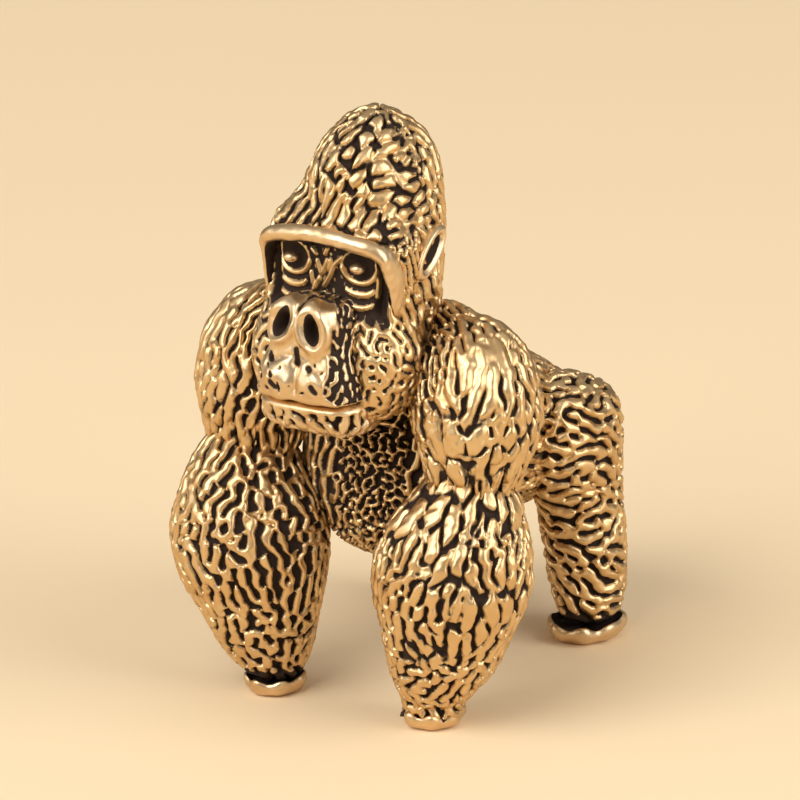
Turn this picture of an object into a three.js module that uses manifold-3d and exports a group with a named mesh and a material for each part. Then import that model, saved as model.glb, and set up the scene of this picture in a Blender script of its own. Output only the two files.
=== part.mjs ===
// A small cast-brass gorilla standing on its knuckles and feet, built as the cast sections it is joined from.
// Millimetres, +Z up, the face looks along -Y and the figure's left side is +X.
// Heights are above the ground. Every place along Y is measured back from the line through the two hands.

import * as THREE from "three";
import { mergeVertices } from "three/addons/utils/BufferGeometryUtils.js";
import Module from "manifold-3d";

const wasm = await Module();
wasm.setup();

// Joints between the cast sections
const SOLDER_GAP = 0.3;
const SOCKET_MOUTH = 3.0;
const NECK_PEG_RADIUS = 1.7;
const SHOULDER_PEG_RADIUS = 1.4;
const ELBOW_PEG_RADIUS = 1.2;
const HIP_PEG_RADIUS = 1.2;
const WRIST_PEG_RADIUS = 0.8;
const WRIST_PEG_LENGTH = 3.5;
const ANKLE_PEG_RADIUS = 0.8;
const ANKLE_PEG_LENGTH = 3.5;
const FACE_PEG_RADIUS = 0.8;
const FACE_PEG_LENGTH = 3.4;
const FACE_PEG_COVER = 1.2;

// Torso: upright sections from the chest back to the rump, with the step back to each
const CHEST_FRONT = -2.2;
const CHEST_STEP = 2.4;
const CHEST_HALF_WIDTH = 6.2;
const CHEST_TOP = 25.4;
const CHEST_UNDERSIDE = 11.6;
const SHOULDER_STEP = 5.2;
const SHOULDER_HALF_WIDTH = 7.8;
const SHOULDER_TOP = 26.8;
const SHOULDER_UNDERSIDE = 10.2;
const WAIST_STEP = 6.0;
const WAIST_HALF_WIDTH = 7.2;
const WAIST_TOP = 24.8;
const WAIST_UNDERSIDE = 9.6;
const HIP_STEP = 6.6;
const HIP_HALF_WIDTH = 6.6;
const HIP_TOP = 21.0;
const HIP_UNDERSIDE = 9.0;
const RUMP_STEP = 4.0;
const RUMP_HALF_WIDTH = 5.4;
const RUMP_TOP = 18.8;
const RUMP_UNDERSIDE = 9.4;
const TAIL_STEP = 2.4;

// Cranium: level sections from the nape up to the crest, with the rise to each
const NAPE_BOTTOM = 21.4;
const NAPE_RISE = 5.6;
const NAPE_PLACE = 0.8;
const NAPE_HALF_WIDTH = 5.0;
const NAPE_HALF_DEPTH = 4.8;
const TEMPLE_RISE = 5.4;
const TEMPLE_PLACE = 1.6;
const TEMPLE_HALF_WIDTH = 4.9;
const TEMPLE_HALF_DEPTH = 5.4;
const CREST_RISE = 3.8;
const CREST_PLACE = 2.2;
const CREST_HALF_WIDTH = 4.4;
const CREST_HALF_DEPTH = 5.3;
const DOME_RISE = 2.6;
const DOME_PLACE = 2.3;
const DOME_HALF_WIDTH = 3.6;
const DOME_HALF_DEPTH = 4.6;
const TOP_RISE = 2.9;
const TOP_PLACE = 2.2;

// Face: level sections of the squarish mask in front of the cranium, from the jaw up to the forehead
const FACE_BACK = 1.0;
const FACE_SQUARENESS = 3.6;
const JAW_BOTTOM = 20.6;
const JAW_RISE = 2.2;
const JAW_FRONT = -5.2;
const JAW_HALF_WIDTH = 4.5;
const CHEEK_RISE = 3.4;
const CHEEK_FRONT = -4.8;
const CHEEK_HALF_WIDTH = 5.1;
const CHEEKBONE_RISE = 4.4;
const CHEEKBONE_FRONT = -4.0;
const CHEEKBONE_HALF_WIDTH = 5.2;
const BROW_LINE_RISE = 3.8;
const BROW_LINE_FRONT = -4.0;
const BROW_LINE_HALF_WIDTH = 4.9;
const FOREHEAD_RISE = 2.2;
const FOREHEAD_FRONT = -1.5;
const FOREHEAD_HALF_WIDTH = 3.7;
const FACE_TOP_RISE = 1.6;

// Puffed cheeks on the face
const CHEEK_PAD_DROP = 0.6;
const CHEEK_PAD_SPREAD = 3.75;
const CHEEK_PAD_HALF_WIDTH = 2.3;
const CHEEK_PAD_HALF_HEIGHT = 3.6;
const CHEEK_PAD_HALF_DEPTH = 2.9;
const CHEEK_PAD_BULGE = 0.9;

// Eyes, each in a dished socket
const EYE_ABOVE_CHEEKBONE = 1.9;
const EYE_SPREAD = 2.6;
const EYE_HALF_WIDTH = 0.75;
const EYE_HALF_HEIGHT = 0.55;
const EYE_BULGE = 0.8;
const SOCKET_HALF_WIDTH = 1.7;
const SOCKET_HALF_HEIGHT = 1.9;
const SOCKET_DEPTH = 0.9;
const SOCKET_DROP = 0.6;

// Brow ridge: a round bar over both eyes, thinner where it runs down both temples
const BROW_RADIUS = 0.64;
const BROW_SIDE_RADIUS = 0.5;
const BROW_ABOVE_EYES = 2.0;
const BROW_ARCH = 0.85;
const BROW_BEND_SHARE = 0.6;
const BROW_BEND_DROP_SHARE = 0.3;
const BROW_CORNER_SPREAD = 4.6;
const BROW_SIDE_LENGTH = 4.6;
const BROW_STAND_OFF = 0.4;

// Muzzle with the nose above the mouth line, and the lower jaw below it
const CHIN_BOTTOM = 20.6;
const CHIN_TALL = 3.1;
const CHIN_FRONT = -7.5;
const CHIN_HALF_WIDTH = 3.8;
const CHIN_TAPER = 0.95;
const CHIN_SLANT = 1.2;
const LIP_RISE = 1.5;
const LIP_FRONT = -8.2;
const LIP_HALF_WIDTH = 3.7;
const NOSE_RISE = 3.8;
const NOSE_FRONT = -7.7;
const NOSE_HALF_WIDTH = 2.4;
const NOSE_BRIDGE_RISE = 1.2;
const NOSE_BRIDGE_FRONT = -7.4;
const NOSE_BRIDGE_HALF_WIDTH = 2.1;
const NOSE_TOP_RISE = 0.4;
const MUZZLE_SQUARENESS = 3.4;
const MUZZLE_BACK = -1.8;
const NOSTRIL_SPREAD = 1.16;
const NOSTRIL_HALF_WIDTH = 0.6;
const NOSTRIL_HALF_HEIGHT = 1.1;
const NOSTRIL_DEPTH = 1.1;
const NOSTRIL_RIM = 0.42;

// Ears: hollowed ovals that lean back on the sides of the cranium
const EAR_HEIGHT = 32.6;
const EAR_PLACE = 1.1;
const EAR_HALF_LENGTH = 2.2;
const EAR_HALF_WIDTH = 0.95;
const EAR_THICKNESS = 0.9;
const EAR_RIM = 0.4;
const EAR_LEAN_DEGREES = 50;

// Fur: staggered rows of locks, each rising from its root to its tip, with deep partings between
const LOCK_DEPTH = 0.5;
const LOCK_ROOT_DEPTH = 0.4;
const TORSO_LOCKS = { around: 28, rows: 7, rings: 3 };
const HEAD_LOCKS = { around: 16, rows: 6, rings: 3 };
const LIMB_LOCKS = { around: 12, rows: 4, rings: 3 };

// Hands: smooth pads under the forearms
const HAND_SPREAD = 6.3;
const HAND_PLACE = -0.4;
const HAND_HALF_WIDTH = 2.0;
const HAND_HALF_LENGTH = 2.3;
const HAND_THICKNESS = 1.3;

// Every pad is widest this share of its thickness above its flat sole, and sinks this far into its limb
const SOLE_SHARE = 0.38;
const PAD_OVERLAP = 0.4;

// Forearms: sections from the wrist up to the inside of the elbow, with the rise to each
const WRIST_RISE = 1.3;
const WRIST_HALF_WIDTH = 2.3;
const WRIST_HALF_DEPTH = 2.4;
const TAPER_RISE = 4.0;
const TAPER_HALF_WIDTH = 4.2;
const TAPER_HALF_DEPTH = 4.2;
const FOREARM_RISE = 5.0;
const FOREARM_SPREAD = 8.0;
const FOREARM_PLACE = -0.7;
const FOREARM_HALF_WIDTH = 5.4;
const FOREARM_HALF_DEPTH = 5.4;
const FOREARM_NECK_RISE = 4.4;
const FOREARM_NECK_HALF_WIDTH = 4.2;
const FOREARM_NECK_HALF_DEPTH = 4.3;
const FOREARM_TOP_RISE = 2.6;

// Upper arms: sections from the elbow up to the shoulder, with the rise to each
const ELBOW_OVERLAP = 3.6;
const ELBOW_RISE = 2.4;
const ELBOW_SPREAD = 8.9;
const ELBOW_PLACE = 0.9;
const ELBOW_HALF_WIDTH = 3.5;
const ELBOW_HALF_DEPTH = 3.9;
const BICEPS_RISE = 3.2;
const BICEPS_SPREAD = 8.8;
const BICEPS_PLACE = 2.2;
const BICEPS_HALF_WIDTH = 4.3;
const BICEPS_HALF_DEPTH = 4.8;
const DELTOID_RISE = 3.6;
const DELTOID_SPREAD = 7.8;
const DELTOID_PLACE = 3.8;
const DELTOID_HALF_WIDTH = 4.1;
const DELTOID_HALF_DEPTH = 4.6;
const ARM_TOP_RISE = 2.2;
const ARM_TOP_SPREAD = 5.6;
const ARM_TOP_PLACE = 5.0;

// Feet: smooth pads under the hind legs, set a little ahead of the ankles
const FOOT_SPREAD = 6.3;
const FOOT_AHEAD = 0.5;
const FOOT_HALF_WIDTH = 2.5;
const FOOT_HALF_LENGTH = 3.2;
const FOOT_THICKNESS = 1.4;

// Hind legs: sections from the ankle up to the inside of the hip, with the rise to each
const ANKLE_RISE = 1.2;
const ANKLE_PLACE = 20.5;
const ANKLE_HALF_WIDTH = 2.2;
const ANKLE_HALF_DEPTH = 2.5;
const SHIN_RISE = 3.4;
const SHIN_HALF_WIDTH = 2.7;
const SHIN_HALF_DEPTH = 3.0;
const KNEE_RISE = 4.8;
const KNEE_SPREAD = 6.0;
const KNEE_PLACE = 20.5;
const KNEE_HALF_WIDTH = 3.0;
const KNEE_HALF_DEPTH = 3.5;
const THIGH_RISE = 5.0;
const THIGH_SPREAD = 5.6;
const THIGH_PLACE = 19.4;
const THIGH_HALF_WIDTH = 3.6;
const THIGH_HALF_DEPTH = 4.8;
const LEG_TOP_RISE = 3.4;
const LEG_TOP_SPREAD = 4.6;
const LEG_TOP_PLACE = 18.8;

// Facets of the plain forms
const LIMB_GRID = { rows: 11, columns: 18 };
const TORSO_GRID = { rows: 14, columns: 22 };
const CRANIUM_GRID = { rows: 14, columns: 22 };
const FACE_GRID = { rows: 12, columns: 22 };
const MUZZLE_GRID = { rows: 14, columns: 22 };
const BROW_GRID = { rows: 28, columns: 8 };
const PAD_GRID = { rows: 7, columns: 14 };
const SMALL_GRID = { rows: 8, columns: 14 };
const PEG_SIDES = 10;
const LOOP_WIRE_SIDES = 6;
const LOOP_STEPS = 16;
const HALVINGS = 40;

// Heights and places that follow from the rises and steps above
const stacked = (start, ...rises) =>
  rises.reduce((heights, rise) => [...heights, heights[heights.length - 1] + rise], [start]);
const [, CHEST_PLACE, SHOULDER_PLACE, WAIST_PLACE, HIP_PLACE, RUMP_PLACE, RUMP_BACK] = stacked(
  CHEST_FRONT, CHEST_STEP, SHOULDER_STEP, WAIST_STEP, HIP_STEP, RUMP_STEP, TAIL_STEP,
);
const [, NAPE_HEIGHT, TEMPLE_HEIGHT, CREST_HEIGHT, DOME_HEIGHT, CREST_TOP] = stacked(
  NAPE_BOTTOM, NAPE_RISE, TEMPLE_RISE, CREST_RISE, DOME_RISE, TOP_RISE,
);
const [, JAW_HEIGHT, CHEEK_HEIGHT, CHEEKBONE_HEIGHT, BROW_LINE_HEIGHT, FOREHEAD_HEIGHT, FACE_TOP] = stacked(
  JAW_BOTTOM, JAW_RISE, CHEEK_RISE, CHEEKBONE_RISE, BROW_LINE_RISE, FOREHEAD_RISE, FACE_TOP_RISE,
);
const [, MOUTH_HEIGHT, LIP_HEIGHT, NOSE_HEIGHT, NOSE_BRIDGE_HEIGHT, NOSE_TOP] = stacked(
  CHIN_BOTTOM, CHIN_TALL, LIP_RISE, NOSE_RISE, NOSE_BRIDGE_RISE, NOSE_TOP_RISE,
);
const FOREARM_BOTTOM = HAND_THICKNESS - PAD_OVERLAP;
const [, WRIST_HEIGHT, TAPER_HEIGHT, FOREARM_HEIGHT, FOREARM_NECK_HEIGHT, FOREARM_TOP] = stacked(
  FOREARM_BOTTOM, WRIST_RISE, TAPER_RISE, FOREARM_RISE, FOREARM_NECK_RISE, FOREARM_TOP_RISE,
);
const ARM_BOTTOM = FOREARM_TOP - ELBOW_OVERLAP;
const [, ELBOW_HEIGHT, BICEPS_HEIGHT, DELTOID_HEIGHT, ARM_TOP] = stacked(
  ARM_BOTTOM, ELBOW_RISE, BICEPS_RISE, DELTOID_RISE, ARM_TOP_RISE,
);
const LEG_BOTTOM = FOOT_THICKNESS - PAD_OVERLAP;
const [, ANKLE_HEIGHT, SHIN_HEIGHT, KNEE_HEIGHT, THIGH_HEIGHT, LEG_TOP] = stacked(
  LEG_BOTTOM, ANKLE_RISE, SHIN_RISE, KNEE_RISE, THIGH_RISE, LEG_TOP_RISE,
);
const CHEEK_PAD_HEIGHT = CHEEK_HEIGHT - CHEEK_PAD_DROP;
const EYE_HEIGHT = CHEEKBONE_HEIGHT + EYE_ABOVE_CHEEKBONE;
const BROW_HEIGHT = EYE_HEIGHT + BROW_ABOVE_EYES;
const BROW_CORNER_HEIGHT = BROW_HEIGHT - BROW_ARCH;
const BROW_FOOT_HEIGHT = BROW_CORNER_HEIGHT - BROW_SIDE_LENGTH;

// Solids

// A solid from a grid of rings between two poles. ringAt(share, angle, row, column) gives a point.
function solidOfRings({ rows, columns }, ringAt) {
  const points = [];
  const triangles = [];
  const at = (row, column) => 1 + (row - 1) * columns + (column % columns);
  points.push(ringAt(0, 0, 0, 0));
  for (let row = 1; row < rows; row++) {
    const share = (1 - Math.cos((Math.PI * row) / rows)) / 2;
    for (let column = 0; column < columns; column++)
      points.push(ringAt(share, (2 * Math.PI * column) / columns, row, column));
  }
  points.push(ringAt(1, 0, rows, 0));
  const last = points.length - 1;
  for (let column = 0; column < columns; column++) {
    triangles.push(0, at(1, column + 1), at(1, column));
    triangles.push(last, at(rows - 1, column), at(rows - 1, column + 1));
    for (let row = 1; row < rows - 1; row++) {
      const [a, b] = [at(row, column), at(row, column + 1)];
      const [c, d] = [at(row + 1, column + 1), at(row + 1, column)];
      triangles.push(a, b, d, b, c, d);
    }
  }
  return new wasm.Manifold(
    new wasm.Mesh({
      numProp: 3,
      vertProperties: new Float32Array(points.flatMap((p) => p.toArray())),
      triVerts: new Uint32Array(triangles),
    }),
  );
}

// A solid from a three.js geometry that is closed once its doubled vertices are merged.
function solidOf(geometry) {
  const bare = geometry.clone();
  bare.deleteAttribute("normal");
  bare.deleteAttribute("uv");
  const merged = mergeVertices(bare);
  return new wasm.Manifold(
    new wasm.Mesh({
      numProp: 3,
      vertProperties: merged.attributes.position.array,
      triVerts: new Uint32Array(merged.index.array),
    }),
  );
}

const ACROSS = new THREE.Vector3(1, 0, 0);
const BACK = new THREE.Vector3(0, 1, 0);

const smooth = (points) => new THREE.CatmullRomCurve3(points, false, "catmullrom", 0.5);

// A lobe's sections run down its spine. The squares of the half sizes are interpolated: its ends are round.
function lobeCurves(sections) {
  return {
    spine: smooth(sections.map((s) => new THREE.Vector3(s.x, s.y, s.z))),
    squares: smooth(sections.map((s) => new THREE.Vector3((s.a ?? 0) ** 2, (s.b ?? 0) ** 2, 0))),
  };
}

// Half sizes of a lobe at a share of its spine, grown by an offset.
function halfSizes(curves, share, grow) {
  const square = curves.squares.getPoint(share);
  return [Math.sqrt(Math.max(square.x, 0)) + grow, Math.sqrt(Math.max(square.y, 0)) + grow];
}

// Locks of fur lie over two columns and a few rings each, and every row is set half a lock aside of the last.
const lockGrid = (locks) => ({ rows: locks.rows * locks.rings, columns: 2 * locks.around });

// How far the fur lies under the form: deepest in a parting, less at a lock's root, nothing at its tip.
function furDepth(locks, row, column) {
  const lockRow = Math.floor(row / locks.rings);
  if ((column + lockRow) % 2 === 1) return LOCK_DEPTH;
  const towardTip = (row % locks.rings) / (locks.rings - 1);
  return LOCK_ROOT_DEPTH * (1 - towardTip);
}

// A swept lobe: elliptical sections across +X, square to the spine, or kept level where level is true.
// With locks, its rings sink between the locks of fur and never rise above the plain form.
function lobe(sections, options) {
  const { grow = 0, locks, level = false, squareness = 2, reference = ACROSS } = options;
  const grid = locks ? lockGrid(locks) : (options.grid ?? LIMB_GRID);
  const curves = lobeCurves(sections);
  const rounded = (value) => Math.sign(value) * Math.abs(value) ** (2 / squareness);
  return solidOfRings(grid, (share, angle, row, column) => {
    const centre = curves.spine.getPoint(share);
    const along = level ? new THREE.Vector3(0, 0, -1) : curves.spine.getTangent(share);
    const across = reference.clone().addScaledVector(along, -along.dot(reference)).normalize();
    const deep = new THREE.Vector3().crossVectors(along, across);
    if (share === 0) return centre.addScaledVector(along, -grow);
    if (share === 1) return centre.addScaledVector(along, grow);
    const [a, b] = halfSizes(curves, share, grow - (locks ? furDepth(locks, row, column) : 0));
    centre.addScaledVector(across, a * rounded(Math.cos(angle)));
    return centre.addScaledVector(deep, b * rounded(Math.sin(angle)));
  });
}

// An ellipsoid, turned about X and then set in place.
function ellipsoid(centre, halves, { grow = 0, grid = SMALL_GRID, turnX = 0 } = {}) {
  const turn = new THREE.Euler(turnX, 0, 0);
  return solidOfRings(grid, (share, angle) => {
    const polar = Math.acos(1 - 2 * share);
    const ring = Math.sin(polar);
    const point = new THREE.Vector3(
      (halves.x + grow) * ring * Math.cos(angle),
      -(halves.y + grow) * ring * Math.sin(angle),
      (halves.z + grow) * Math.cos(polar),
    );
    return point.applyEuler(turn).add(centre);
  });
}

// An upright oval ring of round wire that faces forward.
function loop(centre, halfWidth, halfHeight, wireRadius) {
  const geometry = new THREE.TorusGeometry(halfHeight, wireRadius, LOOP_WIRE_SIDES, LOOP_STEPS);
  geometry.scale(halfWidth / halfHeight, 1, 1);
  geometry.rotateX(Math.PI / 2);
  geometry.translate(centre.x, centre.y, centre.z);
  return solidOf(geometry);
}

// A round peg from one point to another.
function peg(from, to, radius) {
  const along = new THREE.Vector3().subVectors(to, from);
  const geometry = new THREE.CylinderGeometry(radius, radius, along.length(), PEG_SIDES);
  const middle = new THREE.Vector3().addVectors(from, to).multiplyScalar(0.5);
  geometry.applyQuaternion(
    new THREE.Quaternion().setFromUnitVectors(new THREE.Vector3(0, 1, 0), along.normalize()),
  );
  geometry.translate(middle.x, middle.y, middle.z);
  return solidOf(geometry);
}

// The socket of a peg: wider and deeper by the solder gap, and open past the peg's root.
function socket(from, to, radius) {
  const along = new THREE.Vector3().subVectors(to, from).normalize();
  const mouth = from.clone().addScaledVector(along, -SOCKET_MOUTH);
  return peg(mouth, to.clone().addScaledVector(along, SOLDER_GAP), radius + SOLDER_GAP);
}

// Everything between two heights: a slab far wider than the figure, which is taller than it is wide.
function slab(bottom, top) {
  const side = 4 * CREST_TOP;
  const geometry = new THREE.BoxGeometry(side, side, top - bottom);
  geometry.translate(0, 0, (bottom + top) / 2);
  return solidOf(geometry);
}

const cut = (solid, ...tools) => tools.reduce((rest, tool) => rest.subtract(tool), solid);
const join = (solid, ...others) => others.reduce((whole, other) => whole.add(other), solid);

// The main piece of a solid that a cut has trimmed.
function trimmed(solid) {
  return solid.decompose().sort((one, other) => other.volume() - one.volume())[0];
}

const at = (x, y, z) => new THREE.Vector3(x, y, z);

// Torso

const torsoSection = (y, a, top, bottom) => ({ x: 0, y, z: (top + bottom) / 2, a, b: (top - bottom) / 2 });
const TORSO_SECTIONS = [
  { x: 0, y: CHEST_FRONT, z: (CHEST_TOP + CHEST_UNDERSIDE) / 2 },
  torsoSection(CHEST_PLACE, CHEST_HALF_WIDTH, CHEST_TOP, CHEST_UNDERSIDE),
  torsoSection(SHOULDER_PLACE, SHOULDER_HALF_WIDTH, SHOULDER_TOP, SHOULDER_UNDERSIDE),
  torsoSection(WAIST_PLACE, WAIST_HALF_WIDTH, WAIST_TOP, WAIST_UNDERSIDE),
  torsoSection(HIP_PLACE, HIP_HALF_WIDTH, HIP_TOP, HIP_UNDERSIDE),
  torsoSection(RUMP_PLACE, RUMP_HALF_WIDTH, RUMP_TOP, RUMP_UNDERSIDE),
  { x: 0, y: RUMP_BACK, z: (RUMP_TOP + RUMP_UNDERSIDE) / 2 },
];
const torsoForm = (options) => lobe(TORSO_SECTIONS, { grid: TORSO_GRID, ...options });

// Head

const CRANIUM_SECTIONS = [
  { x: 0, y: TOP_PLACE, z: CREST_TOP },
  { x: 0, y: DOME_PLACE, z: DOME_HEIGHT, a: DOME_HALF_WIDTH, b: DOME_HALF_DEPTH },
  { x: 0, y: CREST_PLACE, z: CREST_HEIGHT, a: CREST_HALF_WIDTH, b: CREST_HALF_DEPTH },
  { x: 0, y: TEMPLE_PLACE, z: TEMPLE_HEIGHT, a: TEMPLE_HALF_WIDTH, b: TEMPLE_HALF_DEPTH },
  { x: 0, y: NAPE_PLACE, z: NAPE_HEIGHT, a: NAPE_HALF_WIDTH, b: NAPE_HALF_DEPTH },
  { x: 0, y: NAPE_PLACE, z: NAPE_BOTTOM },
];
const faceSection = (z, front, a) => ({ x: 0, y: (front + FACE_BACK) / 2, z, a, b: (FACE_BACK - front) / 2 });
const FACE_SECTIONS = [
  { ...faceSection(FACE_TOP, FOREHEAD_FRONT, 0), b: 0 },
  faceSection(FOREHEAD_HEIGHT, FOREHEAD_FRONT, FOREHEAD_HALF_WIDTH),
  faceSection(BROW_LINE_HEIGHT, BROW_LINE_FRONT, BROW_LINE_HALF_WIDTH),
  faceSection(CHEEKBONE_HEIGHT, CHEEKBONE_FRONT, CHEEKBONE_HALF_WIDTH),
  faceSection(CHEEK_HEIGHT, CHEEK_FRONT, CHEEK_HALF_WIDTH),
  faceSection(JAW_HEIGHT, JAW_FRONT, JAW_HALF_WIDTH),
  { ...faceSection(JAW_BOTTOM, JAW_FRONT, 0), b: 0 },
];

// A level section of a lobe at a height, found by halving: its centre's place and its half sizes.
function levelAt(sections, height) {
  const curves = lobeCurves(sections);
  let [low, high] = [0, 1];
  for (let step = 0; step < HALVINGS; step++) {
    const middle = (low + high) / 2;
    if (curves.spine.getPoint(middle).z > height) low = middle;
    else high = middle;
  }
  const [a, b] = halfSizes(curves, low, 0);
  return { y: curves.spine.getPoint(low).y, a, b };
}

// The place of the face's front at a spread from the middle and a height.
function faceFront(x, height) {
  const { y, a, b } = levelAt(FACE_SECTIONS, height);
  const share = Math.min(Math.abs(x) / a, 1);
  return y - b * (1 - share ** FACE_SQUARENESS) ** (1 / FACE_SQUARENESS);
}

// The spread of the cranium's side at a place and a height.
function craniumSide(place, height) {
  const { y, a, b } = levelAt(CRANIUM_SECTIONS, height);
  return a * Math.sqrt(Math.max(1 - ((place - y) / b) ** 2, 0));
}

const SIDES = [["left", 1], ["right", -1]];

// Cranium, face, cheek pads and eye sockets as one form. Only the cranium has locks of fur.
function headForm({ grow = 0, locks }) {
  const cranium = lobe(CRANIUM_SECTIONS, { grow, locks, grid: CRANIUM_GRID, level: true });
  const face = lobe(FACE_SECTIONS, { grow, grid: FACE_GRID, level: true, squareness: FACE_SQUARENESS });
  const pads = SIDES.map(([, side]) => {
    const x = side * CHEEK_PAD_SPREAD;
    const halves = at(CHEEK_PAD_HALF_WIDTH, CHEEK_PAD_HALF_DEPTH, CHEEK_PAD_HALF_HEIGHT);
    const y = faceFront(x, CHEEK_PAD_HEIGHT) + CHEEK_PAD_HALF_DEPTH - CHEEK_PAD_BULGE;
    return ellipsoid(at(x, y, CHEEK_PAD_HEIGHT), halves, { grow });
  });
  const sockets = SIDES.map(([, side]) => {
    const height = EYE_HEIGHT - SOCKET_DROP;
    const x = side * EYE_SPREAD;
    const halves = at(SOCKET_HALF_WIDTH, SOCKET_DEPTH, SOCKET_HALF_HEIGHT);
    return ellipsoid(at(x, faceFront(x, height), height), halves, { grow: -grow });
  });
  return cut(join(cranium, face, ...pads), ...sockets);
}

// Arms, legs, hands and feet, each for one side

// A limb's section: mirrored to one side, with half sizes left out where the limb closes.
const limbSection = (side, spread, y, z, a, b) => ({ x: side * spread, y, z, a, b });

function upperArmForm(side, options) {
  const section = limbSection.bind(null, side);
  return lobe(
    [
      section(ARM_TOP_SPREAD, ARM_TOP_PLACE, ARM_TOP),
      section(DELTOID_SPREAD, DELTOID_PLACE, DELTOID_HEIGHT, DELTOID_HALF_WIDTH, DELTOID_HALF_DEPTH),
      section(BICEPS_SPREAD, BICEPS_PLACE, BICEPS_HEIGHT, BICEPS_HALF_WIDTH, BICEPS_HALF_DEPTH),
      section(ELBOW_SPREAD, ELBOW_PLACE, ELBOW_HEIGHT, ELBOW_HALF_WIDTH, ELBOW_HALF_DEPTH),
      section(ELBOW_SPREAD, ELBOW_PLACE, ARM_BOTTOM),
    ],
    options,
  );
}

function forearmForm(side, options) {
  const section = limbSection.bind(null, side);
  const neckPlace = (ELBOW_PLACE + FOREARM_PLACE) / 2;
  const taperSpread = (FOREARM_SPREAD + HAND_SPREAD) / 2;
  const taperPlace = (FOREARM_PLACE + HAND_PLACE) / 2;
  return lobe(
    [
      section(ELBOW_SPREAD, ELBOW_PLACE, FOREARM_TOP),
      section(ELBOW_SPREAD, neckPlace, FOREARM_NECK_HEIGHT, FOREARM_NECK_HALF_WIDTH, FOREARM_NECK_HALF_DEPTH),
      section(FOREARM_SPREAD, FOREARM_PLACE, FOREARM_HEIGHT, FOREARM_HALF_WIDTH, FOREARM_HALF_DEPTH),
      section(taperSpread, taperPlace, TAPER_HEIGHT, TAPER_HALF_WIDTH, TAPER_HALF_DEPTH),
      section(HAND_SPREAD, HAND_PLACE, WRIST_HEIGHT, WRIST_HALF_WIDTH, WRIST_HALF_DEPTH),
      section(HAND_SPREAD, HAND_PLACE, FOREARM_BOTTOM),
    ],
    options,
  );
}

function legForm(side, options) {
  const section = limbSection.bind(null, side);
  return lobe(
    [
      section(LEG_TOP_SPREAD, LEG_TOP_PLACE, LEG_TOP),
      section(THIGH_SPREAD, THIGH_PLACE, THIGH_HEIGHT, THIGH_HALF_WIDTH, THIGH_HALF_DEPTH),
      section(KNEE_SPREAD, KNEE_PLACE, KNEE_HEIGHT, KNEE_HALF_WIDTH, KNEE_HALF_DEPTH),
      section(FOOT_SPREAD, ANKLE_PLACE, SHIN_HEIGHT, SHIN_HALF_WIDTH, SHIN_HALF_DEPTH),
      section(FOOT_SPREAD, ANKLE_PLACE, ANKLE_HEIGHT, ANKLE_HALF_WIDTH, ANKLE_HALF_DEPTH),
      section(FOOT_SPREAD, ANKLE_PLACE, LEG_BOTTOM),
    ],
    options,
  );
}

// A smooth pad with a flat sole on the ground.
function padForm(x, y, halfWidth, halfLength, thickness) {
  const centre = at(x, y, thickness * SOLE_SHARE);
  const halves = at(halfWidth, halfLength, thickness * (1 - SOLE_SHARE));
  return ellipsoid(centre, halves, { grid: PAD_GRID }).intersect(slab(0, CREST_TOP));
}

// Pegs of the joints, from inside the section that carries the peg to inside the one that holds its socket

const between = (one, other) => (one + other) / 2;

function facePeg(front, height) {
  const root = front + FACE_PEG_COVER;
  return [at(0, root, height), at(0, root + FACE_PEG_LENGTH, height), FACE_PEG_RADIUS];
}

const PEGS = {
  neck: [
    at(0, NAPE_PLACE, CHEEKBONE_HEIGHT),
    at(0, between(CHEST_PLACE, SHOULDER_PLACE), between(CHEST_TOP, CHEST_UNDERSIDE)),
    NECK_PEG_RADIUS,
  ],
  muzzle: facePeg(LIP_FRONT, LIP_HEIGHT),
  jaw: facePeg(CHIN_FRONT, between(MOUTH_HEIGHT, CHIN_BOTTOM)),
};

function limbPegs(side) {
  const upright = (spread, y, limbBottom, length, radius) => {
    const root = (limbBottom - SOLDER_GAP) / 2;
    return [at(side * spread, y, root), at(side * spread, y, root + length), radius];
  };
  return {
    shoulder: [
      at(
        side * between(DELTOID_SPREAD, BICEPS_SPREAD),
        between(DELTOID_PLACE, BICEPS_PLACE),
        between(DELTOID_HEIGHT, BICEPS_HEIGHT),
      ),
      at((side * SHOULDER_HALF_WIDTH) / 2, SHOULDER_PLACE, between(SHOULDER_TOP, SHOULDER_UNDERSIDE)),
      SHOULDER_PEG_RADIUS,
    ],
    elbow: [
      at(side * FOREARM_SPREAD, FOREARM_PLACE, FOREARM_HEIGHT),
      at(
        side * between(BICEPS_SPREAD, ELBOW_SPREAD),
        between(BICEPS_PLACE, ELBOW_PLACE),
        between(BICEPS_HEIGHT, ELBOW_HEIGHT),
      ),
      ELBOW_PEG_RADIUS,
    ],
    hip: [
      at(side * KNEE_SPREAD, KNEE_PLACE, KNEE_HEIGHT),
      at((side * HIP_HALF_WIDTH) / 2, HIP_PLACE, between(HIP_TOP, HIP_UNDERSIDE)),
      HIP_PEG_RADIUS,
    ],
    wrist: upright(HAND_SPREAD, HAND_PLACE, FOREARM_BOTTOM, WRIST_PEG_LENGTH, WRIST_PEG_RADIUS),
    ankle: upright(FOOT_SPREAD, ANKLE_PLACE, LEG_BOTTOM, ANKLE_PEG_LENGTH, ANKLE_PEG_RADIUS),
  };
}

// Pieces

const pieces = {};

const pairs = SIDES.map(([, side]) => limbPegs(side));
pieces.torso = cut(
  torsoForm({ locks: TORSO_LOCKS }),
  socket(...PEGS.neck),
  ...pairs.flatMap((pegs) => [socket(...pegs.shoulder), socket(...pegs.hip)]),
);

// Plain forms grown by the solder gap, which cut the sections that meet them
const GROWN = { grow: SOLDER_GAP };
const grownTorso = torsoForm(GROWN);
const grownHead = headForm(GROWN);

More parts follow.
